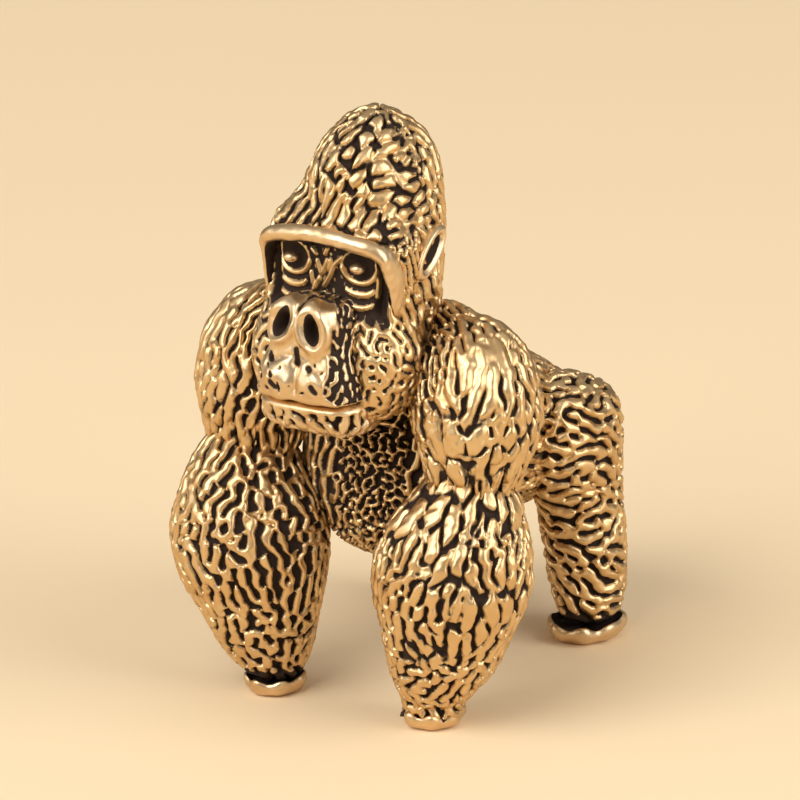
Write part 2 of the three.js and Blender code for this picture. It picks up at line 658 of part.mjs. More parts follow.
pieces.head = cut(
  join(trimmed(cut(headForm({ locks: HEAD_LOCKS }), grownTorso)), peg(...PEGS.neck)),
  socket(...PEGS.muzzle),
  socket(...PEGS.jaw),
);

// Nose and upper lip, with two rimmed nostrils, flat at the mouth line
function muzzlePiece() {
  const section = (z, front, a) => {
    const b = (MUZZLE_BACK - front) / 2;
    return { x: 0, y: front + b, z, a, b };
  };
  const body = lobe(
    [
      { x: 0, y: between(NOSE_BRIDGE_FRONT, MUZZLE_BACK), z: NOSE_TOP },
      section(NOSE_BRIDGE_HEIGHT, NOSE_BRIDGE_FRONT, NOSE_BRIDGE_HALF_WIDTH),
      section(NOSE_HEIGHT, NOSE_FRONT, NOSE_HALF_WIDTH),
      section(LIP_HEIGHT, LIP_FRONT, LIP_HALF_WIDTH),
      section(MOUTH_HEIGHT, LIP_FRONT, LIP_HALF_WIDTH),
      { x: 0, y: between(LIP_FRONT, MUZZLE_BACK), z: CHIN_BOTTOM },
    ],
    { level: true, squareness: MUZZLE_SQUARENESS, grid: MUZZLE_GRID },
  );
  const places = SIDES.map(([, side]) => at(side * NOSTRIL_SPREAD, NOSE_FRONT + NOSTRIL_RIM, NOSE_HEIGHT));
  const rims = places.map((place) =>
    loop(place, NOSTRIL_HALF_WIDTH + NOSTRIL_RIM, NOSTRIL_HALF_HEIGHT + NOSTRIL_RIM, NOSTRIL_RIM),
  );
  const holes = places.map((place) =>
    ellipsoid(place, at(NOSTRIL_HALF_WIDTH, NOSTRIL_DEPTH, NOSTRIL_HALF_HEIGHT)),
  );
  const shaped = join(body.intersect(slab(MOUTH_HEIGHT, CREST_TOP)), ...rims);
  return join(trimmed(cut(shaped, grownHead, ...holes)), peg(...PEGS.muzzle));
}
pieces.muzzle = muzzlePiece();

// Lower lip and chin
function lowerJawPiece() {
  const middle = between(CHIN_FRONT, MUZZLE_BACK);
  const b = (MUZZLE_BACK - CHIN_FRONT) / 2;
  const body = lobe(
    [
      { x: 0, y: middle, z: LIP_HEIGHT },
      { x: 0, y: middle, z: MOUTH_HEIGHT, a: CHIN_HALF_WIDTH, b },
      {
        x: 0,
        y: middle + CHIN_SLANT / 2,
        z: between(MOUTH_HEIGHT, CHIN_BOTTOM),
        a: CHIN_HALF_WIDTH * CHIN_TAPER,
        b: b * CHIN_TAPER,
      },
      { x: 0, y: middle + CHIN_SLANT, z: CHIN_BOTTOM },
    ],
    { level: true, squareness: MUZZLE_SQUARENESS },
  );
  const below = body.intersect(slab(0, MOUTH_HEIGHT - SOLDER_GAP));
  return join(trimmed(cut(below, grownHead, grownTorso)), peg(...PEGS.jaw));
}
pieces.lower_jaw = lowerJawPiece();

// Brow bar over the eyes
function browPiece() {
  const on = (x, z, radius) => ({ x, y: faceFront(x, z) - BROW_STAND_OFF, z, a: radius, b: radius });
  const half = [
    on(BROW_CORNER_SPREAD * BROW_BEND_SHARE, BROW_HEIGHT - BROW_ARCH * BROW_BEND_DROP_SHARE, BROW_RADIUS),
    on(BROW_CORNER_SPREAD, BROW_CORNER_HEIGHT, BROW_RADIUS),
    on(BROW_CORNER_SPREAD, between(BROW_CORNER_HEIGHT, BROW_FOOT_HEIGHT), BROW_SIDE_RADIUS),
    on(BROW_CORNER_SPREAD, BROW_FOOT_HEIGHT, 0),
  ];
  const mirrored = half.map((s) => ({ ...s, x: -s.x })).reverse();
  const middle = on(0, BROW_HEIGHT, BROW_RADIUS);
  const bar = lobe([...mirrored, middle, ...half], { grid: BROW_GRID, reference: BACK });
  return trimmed(cut(bar, grownHead));
}
pieces.brow_ridge = browPiece();

for (const [name, side] of SIDES) {
  const pegs = limbPegs(side);
  const furred = { locks: LIMB_LOCKS };
  const grownUpperArm = upperArmForm(side, GROWN);
  const grownForearm = forearmForm(side, GROWN);
  const grownLeg = legForm(side, GROWN);

  const eyeX = side * EYE_SPREAD;
  const eyeY = faceFront(eyeX, EYE_HEIGHT - SOCKET_DROP) + SOCKET_DEPTH / 2;
  const eye = ellipsoid(at(eyeX, eyeY, EYE_HEIGHT), at(EYE_HALF_WIDTH, EYE_BULGE, EYE_HALF_HEIGHT));
  pieces[name + "_eye"] = trimmed(cut(eye, grownHead));

  const earCentre = at(side * craniumSide(EAR_PLACE, EAR_HEIGHT), EAR_PLACE, EAR_HEIGHT);
  const turnX = -THREE.MathUtils.degToRad(EAR_LEAN_DEGREES);
  const earHalves = at(EAR_THICKNESS, EAR_HALF_WIDTH, EAR_HALF_LENGTH);
  const hollowHalves = at(EAR_THICKNESS, EAR_HALF_WIDTH - EAR_RIM, EAR_HALF_LENGTH - EAR_RIM);
  const hollowCentre = earCentre.clone().add(at(side * (EAR_THICKNESS - EAR_RIM / 2), 0, 0));
  pieces[name + "_ear"] = trimmed(
    cut(
      ellipsoid(earCentre, earHalves, { turnX }),
      grownHead,
      ellipsoid(hollowCentre, hollowHalves, { turnX }),
    ),
  );

  pieces[name + "_upper_arm"] = cut(
    join(trimmed(cut(upperArmForm(side, furred), grownTorso, grownHead)), peg(...pegs.shoulder)),
    socket(...pegs.elbow),
  );
  pieces[name + "_forearm"] = cut(
    join(trimmed(cut(forearmForm(side, furred), grownUpperArm, grownTorso)), peg(...pegs.elbow)),
    socket(...pegs.wrist),
  );
  const hand = padForm(side * HAND_SPREAD, HAND_PLACE, HAND_HALF_WIDTH, HAND_HALF_LENGTH, HAND_THICKNESS);
  pieces[name + "_hand"] = join(trimmed(cut(hand, grownForearm)), peg(...pegs.wrist));

  pieces[name + "_leg"] = cut(
    join(trimmed(cut(legForm(side, furred), grownTorso)), peg(...pegs.hip)),
    socket(...pegs.ankle),
  );
  const footPlace = ANKLE_PLACE - FOOT_AHEAD;
  const foot = padForm(side * FOOT_SPREAD, footPlace, FOOT_HALF_WIDTH, FOOT_HALF_LENGTH, FOOT_THICKNESS);
  pieces[name + "_foot"] = join(trimmed(cut(foot, grownLeg)), peg(...pegs.ankle));
}

// Assembly

const antiquedBrass = new THREE.MeshStandardMaterial({ color: 0xa8824a, roughness: 0.45, metalness: 1 });
const polishedBrass = new THREE.MeshStandardMaterial({ color: 0xd8b266, roughness: 0.25, metalness: 1 });
const POLISHED = /hand|foot|brow|muzzle|eye|ear/;

const sections = new THREE.Group();
for (const [name, solid] of Object.entries(pieces)) {
  const { numProp, vertProperties, triVerts } = solid.getMesh();
  const geometry = new THREE.BufferGeometry();
  geometry.setAttribute("position", new THREE.BufferAttribute(vertProperties.slice(), numProp));
  geometry.setIndex(new THREE.BufferAttribute(triVerts.slice(), 1));
  geometry.computeVertexNormals();
  const mesh = new THREE.Mesh(geometry, POLISHED.test(name) ? polishedBrass : antiquedBrass);
  mesh.name = name;
  sections.add(mesh);
}

// The origin is on the ground, under the middle of the figure's box.
const box = new THREE.Box3().setFromObject(sections);
sections.position.y = -(box.min.y + box.max.y) / 2;

const gorilla = new THREE.Group();
gorilla.add(sections);
export default gorilla;
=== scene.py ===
"""A cast-brass gorilla on its knuckles and feet: the fur, the face and the finish around its cast sections.

The file is laid out as an add-on. Sizes are millimetres, heights are above the ground, and every place
along Y is measured back from the line through the two hands. The face looks along -Y and the left is +X.
"""

import math
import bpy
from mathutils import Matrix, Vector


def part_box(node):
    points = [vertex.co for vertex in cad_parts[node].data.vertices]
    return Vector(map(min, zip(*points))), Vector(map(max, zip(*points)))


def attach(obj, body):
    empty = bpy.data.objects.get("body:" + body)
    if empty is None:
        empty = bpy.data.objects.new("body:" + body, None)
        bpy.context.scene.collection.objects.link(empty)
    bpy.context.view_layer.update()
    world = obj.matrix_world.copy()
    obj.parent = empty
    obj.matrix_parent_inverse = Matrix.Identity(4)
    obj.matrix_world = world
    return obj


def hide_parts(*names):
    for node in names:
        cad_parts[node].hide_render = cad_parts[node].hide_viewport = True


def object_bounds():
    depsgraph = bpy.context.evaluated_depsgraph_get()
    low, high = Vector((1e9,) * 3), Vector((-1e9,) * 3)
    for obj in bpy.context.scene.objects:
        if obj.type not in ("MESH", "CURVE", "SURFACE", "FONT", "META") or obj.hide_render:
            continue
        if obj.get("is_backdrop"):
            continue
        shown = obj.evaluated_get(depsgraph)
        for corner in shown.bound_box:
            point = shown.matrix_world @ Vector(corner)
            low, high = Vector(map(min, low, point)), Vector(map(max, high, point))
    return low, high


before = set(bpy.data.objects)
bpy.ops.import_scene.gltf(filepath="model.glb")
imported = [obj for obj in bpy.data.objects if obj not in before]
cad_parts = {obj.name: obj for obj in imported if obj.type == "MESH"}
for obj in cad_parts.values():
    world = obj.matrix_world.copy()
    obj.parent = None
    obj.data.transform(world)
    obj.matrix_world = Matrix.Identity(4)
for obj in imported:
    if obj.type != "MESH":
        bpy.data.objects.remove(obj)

from concurrent.futures import ThreadPoolExecutor

import bpy
import numpy as np
from mathutils import Matrix, Vector

bl_info = {
    "name": "Brass gorilla figurine",
    "version": (1, 0, 0),
    "blender": (4, 5, 0),
    "location": "View3D > Sidebar > Gorilla",
    "description": "Models the fur, face and finish of a cast-brass gorilla on its cast sections",
    "category": "Add Mesh",
}

MM = 0.001
CAD_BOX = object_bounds()
SIDES = (("left", 1), ("right", -1))

HAND_PLACE = -0.4


def box_middle(node, axis):
    """The middle of a section's box along one axis, in millimetres."""
    low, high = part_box(node)
    return (low[axis] + high[axis]) / 2 / MM


HANDS_LINE = box_middle("left_hand", 1) - HAND_PLACE
HAND_SPREAD = box_middle("left_hand", 0)
FOOT_SPREAD = box_middle("left_foot", 0)
FOOT_PLACE = box_middle("left_foot", 1) - HANDS_LINE
CREST_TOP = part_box("head")[1][2] / MM

# Sections of the lobes: spread, place, height, half width, half depth

TORSO = (
    (0, 0.4, 18.8, 0, 0),
    (0, 2.2, 18.3, 5.4, 6.8),
    (0, 5.8, 17.4, 6.9, 8.0),
    (0, 11.4, 16.6, 6.1, 7.0),
    (0, 17.6, 14.9, 5.9, 5.8),
    (0, 21.6, 14.1, 5.2, 4.7),
    (0, 24.0, 14.1, 0, 0),
)
UPPER_ARM = (
    (4.1, 4.2, 28.2, 0, 0),
    (5.6, 3.4, 26.4, 2.35, 2.4),
    (7.9, 2.0, 24.2, 4.2, 4.2),
    (8.6, 1.4, 21.2, 4.3, 4.5),
    (8.6, 1.0, 18.0, 3.2, 3.5),
    (8.6, 0.9, 14.8, 0, 0),
)
FOREARM = (
    (8.6, 0.9, 19.0, 0, 0),
    (8.6, 0.2, 15.8, 3.9, 4.0),
    (8.0, -0.7, 11.2, 5.4, 5.4),
    (7.15, -0.55, 6.2, 4.2, 4.2),
    (HAND_SPREAD, HAND_PLACE, 2.2, 2.3, 2.4),
)
FOREARM_ENDS = {
    1: ((HAND_SPREAD + 0.2, HAND_PLACE, 0.9, 1.9, 2.0), (HAND_SPREAD + 0.2, HAND_PLACE, 0.2, 0, 0)),
    -1: ((HAND_SPREAD, HAND_PLACE, 0.9, 0, 0),),
}
LEG = (
    (4.4, 18.4, 19.2, 0, 0),
    (5.2, 18.8, 15.8, 3.5, 4.6),
    (5.6, 20.0, 10.4, 2.9, 3.4),
    (FOOT_SPREAD - 0.2, 20.3, 5.6, 2.7, 3.0),
    (FOOT_SPREAD, 20.5, 2.2, 2.2, 2.5),
    (FOOT_SPREAD, 20.5, 1.0, 0, 0),
)
CRANIUM = (
    (0, 2.2, CREST_TOP, 0, 0),
    (0, 2.3, 38.8, 3.6, 4.6),
    (0, 2.2, 36.2, 4.4, 5.3),
    (0, 1.6, 32.4, 4.9, 5.4),
    (0, 0.8, 27.0, 5.0, 4.8),
    (0, 0.8, 21.4, 0, 0),
)

# Sections of the face and muzzle, from top to bottom: height, front, half width

FACE_BACK = 1.0
FACE = (
    (38.2, 0.0, 0),
    (36.6, -1.5, 3.7),
    (34.4, -4.0, 4.9),
    (30.6, -4.0, 5.2),
    (26.2, -4.8, 5.1),
    (22.8, -5.2, 4.5),
    (20.6, -2.2, 0),
)
MUZZLE_BACK = -1.8
MUZZLE = (
    (30.45, -5.7, 0),
    (30.05, -6.7, 2.2),
    (29.0, -7.2, 2.5),
    (27.4, -7.3, 2.75),
    (25.4, -8.0, 3.5),
    (24.4, -7.95, 3.75),
    (23.8, -7.6, 3.7),
    (23.5, -6.6, 0),
)
MUZZLE_SQUARENESS = (4.6, 4.6, 4.6, 4.2, 3.4, 3.4, 3.4, 3.4)
JAW = ((23.75, -5.0, 0), (23.4, -7.2, 3.5), (22.6, -7.25, 3.8), (21.6, -6.6, 3.7), (20.5, -4.4, 0))
CHEEK_MIDDLE = (3.75, -2.5, 25.6)
CHEEK_HALF = (2.3, 2.9, 3.6)
HEAD_BLEND = 0.3
EYE_SPREAD = 2.6
EYE_FRONT = -4.05
EYE_HEIGHT = 32.5
EYE_HALF = (0.52, 0.5, 0.36)
NOSE_MIDDLE = -0.2
NOSTRIL_SPREAD = 1.18
NOSTRIL_HEIGHT = 28.85

# Sections of half the brow bar, from its middle to its end: spread, place, height, half depth, half width

BROW_HALF = (
    (0, -4.5, 34.5, 0.6, 0.56),
    (2.4, -4.45, 34.3, 0.6, 0.56),
    (3.9, -4.15, 33.95, 0.62, 0.56),
    (4.6, -3.4, 33.2, 1.0, 0.5),
    (4.85, -2.8, 31.6, 1.0, 0.36),
    (4.9, -2.6, 30.2, 0.85, 0.3),
    (4.85, -2.3, 28.9, 0, 0),
)
EAR_MIDDLE = (4.9, 1.1, 32.6)
EAR_HALF = (0.7, 0.95, 2.2)
EAR_LEAN = 50.0

# Places on the body and half sizes of the pads

NECK_MIDDLE = (0, 1.0, 28.0)
SHOULDER_NEAR = (4.5, 0, 26.0)
SHOULDER_PLATE = (10.4, -0.4, 26.2)
HAND_HALF = (2.0, 2.25, 1.15)
FOOT_HALF = (2.5, 3.1, 1.3)

# Profile of a pad, from the middle of its hollow out over the rim and in under the sole: reach, rise

PAD_PROFILE = (
    (0, 0.62), (0.4, 0.62), (0.68, 0.66), (0.82, 0.86), (0.92, 1.0), (0.99, 0.88),
    (1.0, 0.6), (0.93, 0.32), (0.78, 0.1), (0.6, 0.0), (0.3, 0.0), (0, 0.0),
)

# Strokes on the front of the face, as spreads and heights: raised by the eyes, sunk in the lip

EYE_STROKES = (
    ((-0.62, 32.5), (-0.35, 31.7)),
    ((-0.2, 31.8), (0.15, 32.6)),
    ((0.45, 32.7), (0.25, 32.0)),
    ((1.3, 33.0), (0.7, 32.4), (0.35, 31.6), (-0.1, 30.9)),
    ((-0.5, 31.3), (-0.95, 30.5)),
    ((-1.15, 31.6), (-1.0, 30.9)),
    ((-1.0, 33.3), (-0.7, 33.0)),
    ((0.2, 33.5), (0.0, 33.1)),
    ((-3.8, 33.2), (-3.95, 32.2), (-3.85, 31.2)),
    ((3.85, 32.6), (3.95, 31.6), (3.85, 30.6)),
)
LIP_STROKES = (
    ((-0.15, 27.3), (-0.05, 26.5)),
    ((-1.6, 25.05), (-1.3, 24.75)),
    ((1.5, 25.15), (1.75, 24.85)),
    ((-2.2, 26.7), (-2.0, 26.4)),
    ((1.0, 26.3), (1.15, 26.15)),
)

# Soft lights, in metres and watts: the point that all face, then each one's place, size and power

LIGHT_AIM = (0, 0, 0.02)
SOFTBOXES = (
    ("key", (-0.125, -0.65, 0.6), 0.62, 5.8),
    ("side", (0.75, 0.05, 0.4), 0.7, 4.9),
    ("fill", (-0.6, -0.5, 0.22), 0.5, 1.3),
)

# The camera's aim, across and up its own picture from the hands' line on the ground, and its sensor

AIM_ACROSS = 2.915
AIM_UP = 20.61
SENSOR = 36

# Fur is worked out in blocks of space of this size, in threads

BLOCK = 2.5
THREADS = 4

# Slots of the two kinds of piece

# The polished slot's paler brass is partly a painted reflection.
FINISHES = {"furred": "antiqued_brass", "cast": "polished_brass"}


# Curves and surfaces


def catmull(knots, shares):
    """A uniform Catmull-Rom curve through the knots, at shares of its run, with the end knots mirrored."""
    knots = np.asarray(knots, float)
    padded = np.vstack([2 * knots[0] - knots[1], knots, 2 * knots[-1] - knots[-2]])
    run = np.clip(shares, 0, 1) * (len(knots) - 1)
    index = np.minimum(run.astype(int), len(knots) - 2)
    t = (run - index)[:, None]
    before, start, end, after = (padded[index + step] for step in range(4))
    slope_in = (end - before) / 2
    slope_out = (after - start) / 2
    return (
        start
        + slope_in * t
        + (3 * (end - start) - 2 * slope_in - slope_out) * t**2
        + (2 * (start - end) + slope_in + slope_out) * t**3
    )


def unit(vectors):
    """Vectors scaled to length 1 along their last axis."""
    return vectors / np.maximum(np.linalg.norm(vectors, axis=-1, keepdims=True), 1e-9)


def ramp(low, high, values):
    """0 below low, 1 above high, and an S-curve between."""
    t = np.clip((values - low) / (high - low), 0, 1)
    return t * t * (3 - 2 * t)


def on_side(place, side):
    """A place on the left, mirrored to the right where the side is -1."""
    return np.array([side * place[0], *place[1:]])


def bump(values, width):
    """A bell: 1 where the values are 0, falling away over the width."""
    return np.exp(-((values / width) ** 2))


class Surface:
    """A closed grid of rings between two poles, with its normals, its run down the rings and its areas."""

    def __init__(self, points):
        self.points = points
        self.measure()

    def measure(self):
        """Central differences along both parameters give tangents; their cross product gives the normal."""
        down = np.gradient(self.points, axis=0)
        around = (np.roll(self.points, -1, axis=1) - np.roll(self.points, 1, axis=1)) / 2
        cross = np.cross(around, down)
        self.area = np.linalg.norm(cross, axis=-1)
        normals = unit(cross)
        outward = self.points - self.points.mean(axis=1, keepdims=True)
        if np.sum(normals * outward) < 0:
            normals = -normals
        normals[0] = unit(normals[1].mean(axis=0))
        normals[-1] = unit(normals[-2].mean(axis=0))
        down[0] = down[1]
        down[-1] = down[-2]
        self.normals = normals
        self.along = self.laid(down)

    @property
    def axes(self):
        """Views of the spreads, places and heights of the points."""
        return np.moveaxis(self.points, -1, 0)

    def away(self, place):
        """Distances of the points from a place."""
        return np.linalg.norm(self.points - place, axis=-1)

    def laid(self, vectors):
        """Vectors pressed onto the surface and scaled to length 1."""
        vectors = vectors + np.zeros(self.points.shape)
        return unit(vectors - self.normals * np.sum(vectors * self.normals, axis=-1, keepdims=True))

    def turned(self, flow, turn):
        """A flow turned in the surface by an angle."""
        turn = np.asarray(turn)[..., None]
        return np.cos(turn) * flow + np.sin(turn) * np.cross(self.normals, flow)

    def raised(self, height):
        """The points moved out along their normals."""
        return self.points + self.normals * height[..., None]


def evenly(lines, parameters, count):
    """Parameters whose points are about evenly spaced, by the mean run along some lines."""
    steps = np.linalg.norm(np.diff(lines, axis=0), axis=-1).mean(axis=1)
    run = np.concatenate([[0], np.cumsum(steps)])
    return np.interp(np.linspace(0, run[-1], count + 1), run, parameters)


def even_shares(points_at, rows):
    """Shares of a run whose rings are about evenly spaced, measured along four meridians."""
    fine = np.linspace(0, 1, 600)
    return evenly(points_at(fine, np.arange(4) * math.pi / 2), fine, rows)


def even_turns(points_at, columns):
    """Angles whose points are about evenly spaced round the middle ring."""
    fine = np.linspace(0, 2 * math.pi, 20001)
    return evenly(points_at(np.array([0.5]), fine).swapaxes(0, 1), fine, columns)[:-1]


def turns(columns):
    """Angles evenly spaced round one turn."""
    return np.arange(columns) * 2 * math.pi / columns


def lobe(sections, rows, columns, side=1, level=False, squareness=2.0, reference=(1.0, 0, 0)):
    """A swept lobe: superellipses square to a Catmull-Rom spine, or level ones.

    The squares of the half sizes follow a Catmull-Rom curve too, so a lobe whose end sections have no
    size closes with a round end. Squareness is one number, or one for every section.
    """
    sections = np.array(sections, float)
    squareness_knots = np.zeros((len(sections), 1)) + np.reshape(squareness, (-1, 1))
    sections[:, 0] *= side
    spine_knots = sections[:, :3]
    square_knots = sections[:, 3:] ** 2
    reference = np.array(reference)

    def points_at(shares, angles):
        spine = catmull(spine_knots, shares)
        tangent = unit(catmull(spine_knots, shares + 1e-3) - catmull(spine_knots, shares - 1e-3))
        if level:
            tangent = np.zeros_like(tangent) + np.array([0, 0, -1.0])
        half = np.sqrt(np.maximum(catmull(square_knots, shares), 0))
        across = unit(reference - tangent * (tangent @ reference)[:, None])
        deep = np.cross(tangent, across)
        power = 2 / catmull(squareness_knots, shares)
        cosine, sine = (np.sign(part) * np.abs(part) ** power for part in (np.cos(angles), np.sin(angles)))
        return (
            spine[:, None]
            + across[:, None] * (half[:, :1] * cosine)[..., None]
            + deep[:, None] * (half[:, 1:] * sine)[..., None]
        )

    angles = turns(columns)
    if np.max(squareness) > 2:
        angles = even_turns(points_at, columns)
    return Surface(points_at(even_shares(points_at, rows), angles))


def fronted(sections, back):
    """Level sections from heights, fronts and half widths, all with one back."""
    return [
        (0, (front + back) / 2, height, half, (back - front) / 2 if half else 0)
        for height, front, half in sections
    ]


# Fur


def swell(surface, size, seed):
    """A slow, smooth noise from -1 to 1: the mean of a few sine waves in seeded directions."""
    rng = np.random.default_rng(seed)
    waves = unit(rng.normal(size=(7, 3))) * (2 * math.pi / size) * rng.uniform(0.7, 1.4, (7, 1))
    return np.sin(surface.points @ waves.T + rng.uniform(0, 2 * math.pi, 7)).mean(axis=-1) * 1.6


def strayed(surface, size, seed):
    """The points of a surface in one list, each moved a little by a noise of about the size."""
    moves = [swell(surface, 1.6 * size, seed + axis) for axis in (7, 8, 9)]
    points = surface.points + 0.1 * size * np.stack(moves, axis=-1)
    return points.reshape(-1, 3).astype(np.float32)


def in_blocks(points, work):
    """Calls a function, in threads, with the indices of the points in every small block of space."""
    block = np.floor(points / BLOCK).astype(int)
    order = np.lexsort(block.T)
    starts = np.flatnonzero(np.any(np.diff(block[order], axis=0), axis=1)) + 1
    with ThreadPoolExecutor(THREADS) as pool:
        list(pool.map(work, np.split(order, starts)))


def close_by(part, centres, reach):
    """Indices of the centres within a reach of the box round some points."""
    low, high = part.min(axis=0) - reach, part.max(axis=0) + reach
    return np.flatnonzero(np.all((centres > low) & (centres < high), axis=1))


def square_distances(part, centres):
    """Squares of the distances of every point from every centre."""
    return np.sum(part**2, axis=1)[:, None] + np.sum(centres**2, axis=1) - 2 * part @ centres.T


def strand_noise(surface, flow, period, wander, seed, density=2.4, length=1.35, width=0.55):
    """Noise with ridges that run along the flow: a sum of short waves, each inside its own soft oval.

    Every wave sits at a seeded point of the surface, crosses the flow there, and fades with distance along
    and across it. The waves are summed as sines and cosines, each divided by the sum's own spread.
    """
    rng = np.random.default_rng(seed)
    points = strayed(surface, period, seed)
    weights = surface.area.ravel() / surface.area.sum()
    count = int(density * surface.area.sum() / period**2)
    chosen = rng.choice(len(points), count, p=weights)
    flow = flow.reshape(-1, 3)[chosen]
    normal = surface.normals.reshape(-1, 3)[chosen]
    side = np.cross(normal, flow)
    angle = rng.normal(0, wander, count)[:, None]
    along = (np.cos(angle) * flow + np.sin(angle) * side).astype(np.float32)
    across = (np.cos(angle) * side - np.sin(angle) * flow).astype(np.float32)
    centres = points[chosen]
    phase = rng.uniform(0, 2 * math.pi, count).astype(np.float32)
    reach = 2.6 * length * period
    total = np.zeros((2, len(points)), np.float32)

    def add_waves(chunk):
        part = points[chunk]
        near = close_by(part, centres, reach)
        run = part @ along[near].T - np.sum(centres[near] * along[near], axis=1)
        cross = part @ across[near].T - np.sum(centres[near] * across[near], axis=1)
        square = square_distances(part, centres[near])
        depth = np.maximum(square - run**2 - cross**2, 0)
        oval = np.exp(
            -0.5 * ((run / (length * period)) ** 2 + (cross / (width * period)) ** 2 + depth / period**2)
        )
        wave = 2 * math.pi / period * cross + phase[near]
        spread = np.sqrt(np.sum(oval**2, axis=1) / 2 + 1e-3)
        total[0, chunk] = np.sum(oval * np.cos(wave), axis=1) / spread
        total[1, chunk] = np.sum(oval * np.sin(wave), axis=1) / spread

    in_blocks(points, add_waves)
    return total.reshape(2, *surface.area.shape)


def cobbles(surface, flow, size, stretch, seed):
    """Rounded cells laid along the flow like cobbles: how far each point lies inside the edge of its cell.

    Seeded centres settle to the middles of their cells. Distance is measured as shorter along the flow by
    the stretch. The gap between a point's nearest and next nearest centre, over the size of a cell, is 0 on
    an edge and about 1 in a middle.
    """
    rng = np.random.default_rng(seed)
    points = strayed(surface, size, seed)
    weights = surface.area.ravel()
    count = int(weights.sum() / (stretch * size**2))
    chosen = rng.choice(len(points), count, p=weights / weights.sum())
    along = flow.reshape(-1, 3)[chosen].astype(np.float32)
    centres = points[chosen]
    reach = 2.5 * stretch * size
    nearest = np.zeros(len(points), int)
    gap = np.zeros(len(points), np.float32)

    def measure(chunk):
        part = points[chunk]
        near = close_by(part, centres, reach)
        run = part @ along[near].T - np.sum(centres[near] * along[near], axis=1)
        square = square_distances(part, centres[near])
        distance = square - (1 - 1 / stretch**2) * run**2
        closest = np.sqrt(np.maximum(np.partition(distance, 1, axis=1)[:, :2], 0))
        nearest[chunk] = near[distance.argmin(axis=1)]
        gap[chunk] = (closest[:, 1] - closest[:, 0]) / size

    for _ in range(4):
        in_blocks(points, measure)
        total = np.maximum(np.bincount(nearest, weights, count), 1e-9)
        sums = [np.bincount(nearest, weights * points[:, axis], count) for axis in range(3)]
        centres = (np.stack(sums, axis=-1) / total[:, None]).astype(np.float32)
    return gap.reshape(surface.area.shape)


def fur(surface, flow, seed, coats, cover, petals=None, cobble=(0.76, 2.3), depth=None):
    """Fur as a founder carves it: broad strands, a little uneven, with deep, narrow grooves between.

    Each coat has a share of the surface, a scale for the strands' spacing, their length and their wander.
    Petals, where given, are the share of each place that is carved as cobbles instead, some run together. A
    cobble has a scale for its width and a length in widths.
    Returns the height of the surface and how far each point lies in a groove, from 0 to 1.
    """
    look = bpy.context.scene.gorilla_fur
    period = look.strand
    depth = depth or look.groove
    waves = 0
    weight = 1e-6
    for share, scale, length, wander in coats:
        waves = waves + share * strand_noise(surface, flow, scale * period, wander, seed, length=length)
        weight = weight + np.square(share)
        seed = seed + 400
    waves = waves / np.sqrt(weight)
    strength = np.hypot(*waves)
    strands = waves[0] / np.maximum(strength, 1e-3)
    cover = cover + 0.2 * swell(surface, 3.4, seed + 3)
    groove = ramp(cover - 0.2, cover + 0.2, -strands) * ramp(0.3, 0.8, strength)
    if petals is not None:
        gap = cobbles(surface, flow, cobble[0] * period, cobble[1], seed + 5)
        uneven = 0.14 * swell(surface, 1.6, seed + 6) + 0.35 * (cover - 0.5)
        edge = ramp(0.36, 0.12, gap + uneven)
        bridged = ramp(-0.45, -0.1, swell(surface, 1.5, seed + 7))
        pillow = 1 - np.clip(1 - gap / 1.1, 0, 1) ** 2
        groove = (1 - petals) * groove + petals * edge * (0.2 + 0.8 * bridged)
        strands = (1 - petals) * strands + petals * (2.4 * pillow - 1.2)
    lumps = 0.22 * swell(surface, 3.4, seed + 2) + 0.12 * swell(surface, 0.9, seed + 1)
    height = depth * (0.24 * strands - groove + lumps)
    return height, groove


# Meshes


def add_object(name, data):
    """Adds an object with its data to the scene."""
    item = bpy.data.objects.new(name, data)
    bpy.context.scene.collection.objects.link(item)
    return item


def closed_mesh(name, points, patina_and_shade):
    """A mesh object from a grid of rings whose first and last rings are poles, with its attribute of patina
    and painted shade.
    """
    rows, columns = points.shape[:2]
    body = points[1:-1].reshape(-1, 3)
    vertices = np.vstack([points[0].mean(axis=0), body, points[-1].mean(axis=0)])
    last = len(vertices) - 1
    column = np.arange(columns)
    following = (column + 1) % columns
    ring = 1 + np.arange(rows - 3)[:, None] * columns
    quads = np.stack(
        [ring + column, ring + columns + column, ring + columns + following, ring + following], axis=-1
    ).reshape(-1, 4)
    final = 1 + (rows - 3) * columns
    top = np.stack([np.zeros(columns, int), 1 + column, 1 + following], axis=-1)
    bottom = np.stack([np.full(columns, last), final + following, final + column], axis=-1)
    first = vertices[quads[:, 0]]
    edges = [vertices[quads[:, corner]] - first for corner in (1, 2)]
    volume = np.sum(np.cross(*edges) * (first - vertices.mean(axis=0)))
    if volume < 0:
        quads, top, bottom = quads[:, ::-1], top[:, ::-1], bottom[:, ::-1]
    placed = (vertices + np.array([0, HANDS_LINE, 0])) * MM
    mesh = bpy.data.meshes.new(name)
    mesh.from_pydata(placed.tolist(), [], quads.tolist() + top.tolist() + bottom.tolist())
    mesh.shade_smooth()
    values = np.concatenate([patina_and_shade[:1].mean(axis=1), patina_and_shade[1:-1].ravel(), patina_and_shade[-1:].mean(axis=1)])
    attribute = mesh.attributes.new("patina_and_shade", "FLOAT", "POINT")
    attribute.data.foreach_set("value", values.astype(np.float32))
    return add_object(name, mesh)


def seat(kind, node, points, patina_and_shade):
    """A furred or plainly cast piece that stands for its section, and takes the finish of its slot."""
    piece = closed_mesh(f"{kind}_{node}", points, patina_and_shade)
    slot = FINISHES[kind]
    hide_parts(node)
    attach(piece, "root")
    piece.data.materials.append(brass_finish(slot))


# Finishes


def wire(node, inputs):
    """Sets inputs of a node. An input given as another node's output is linked to it."""
    for name, value in inputs.items():
        if isinstance(value, bpy.types.NodeSocket):
            node.id_data.links.new(value, node.inputs[name])
        else:
            node.inputs[name].default_value = value


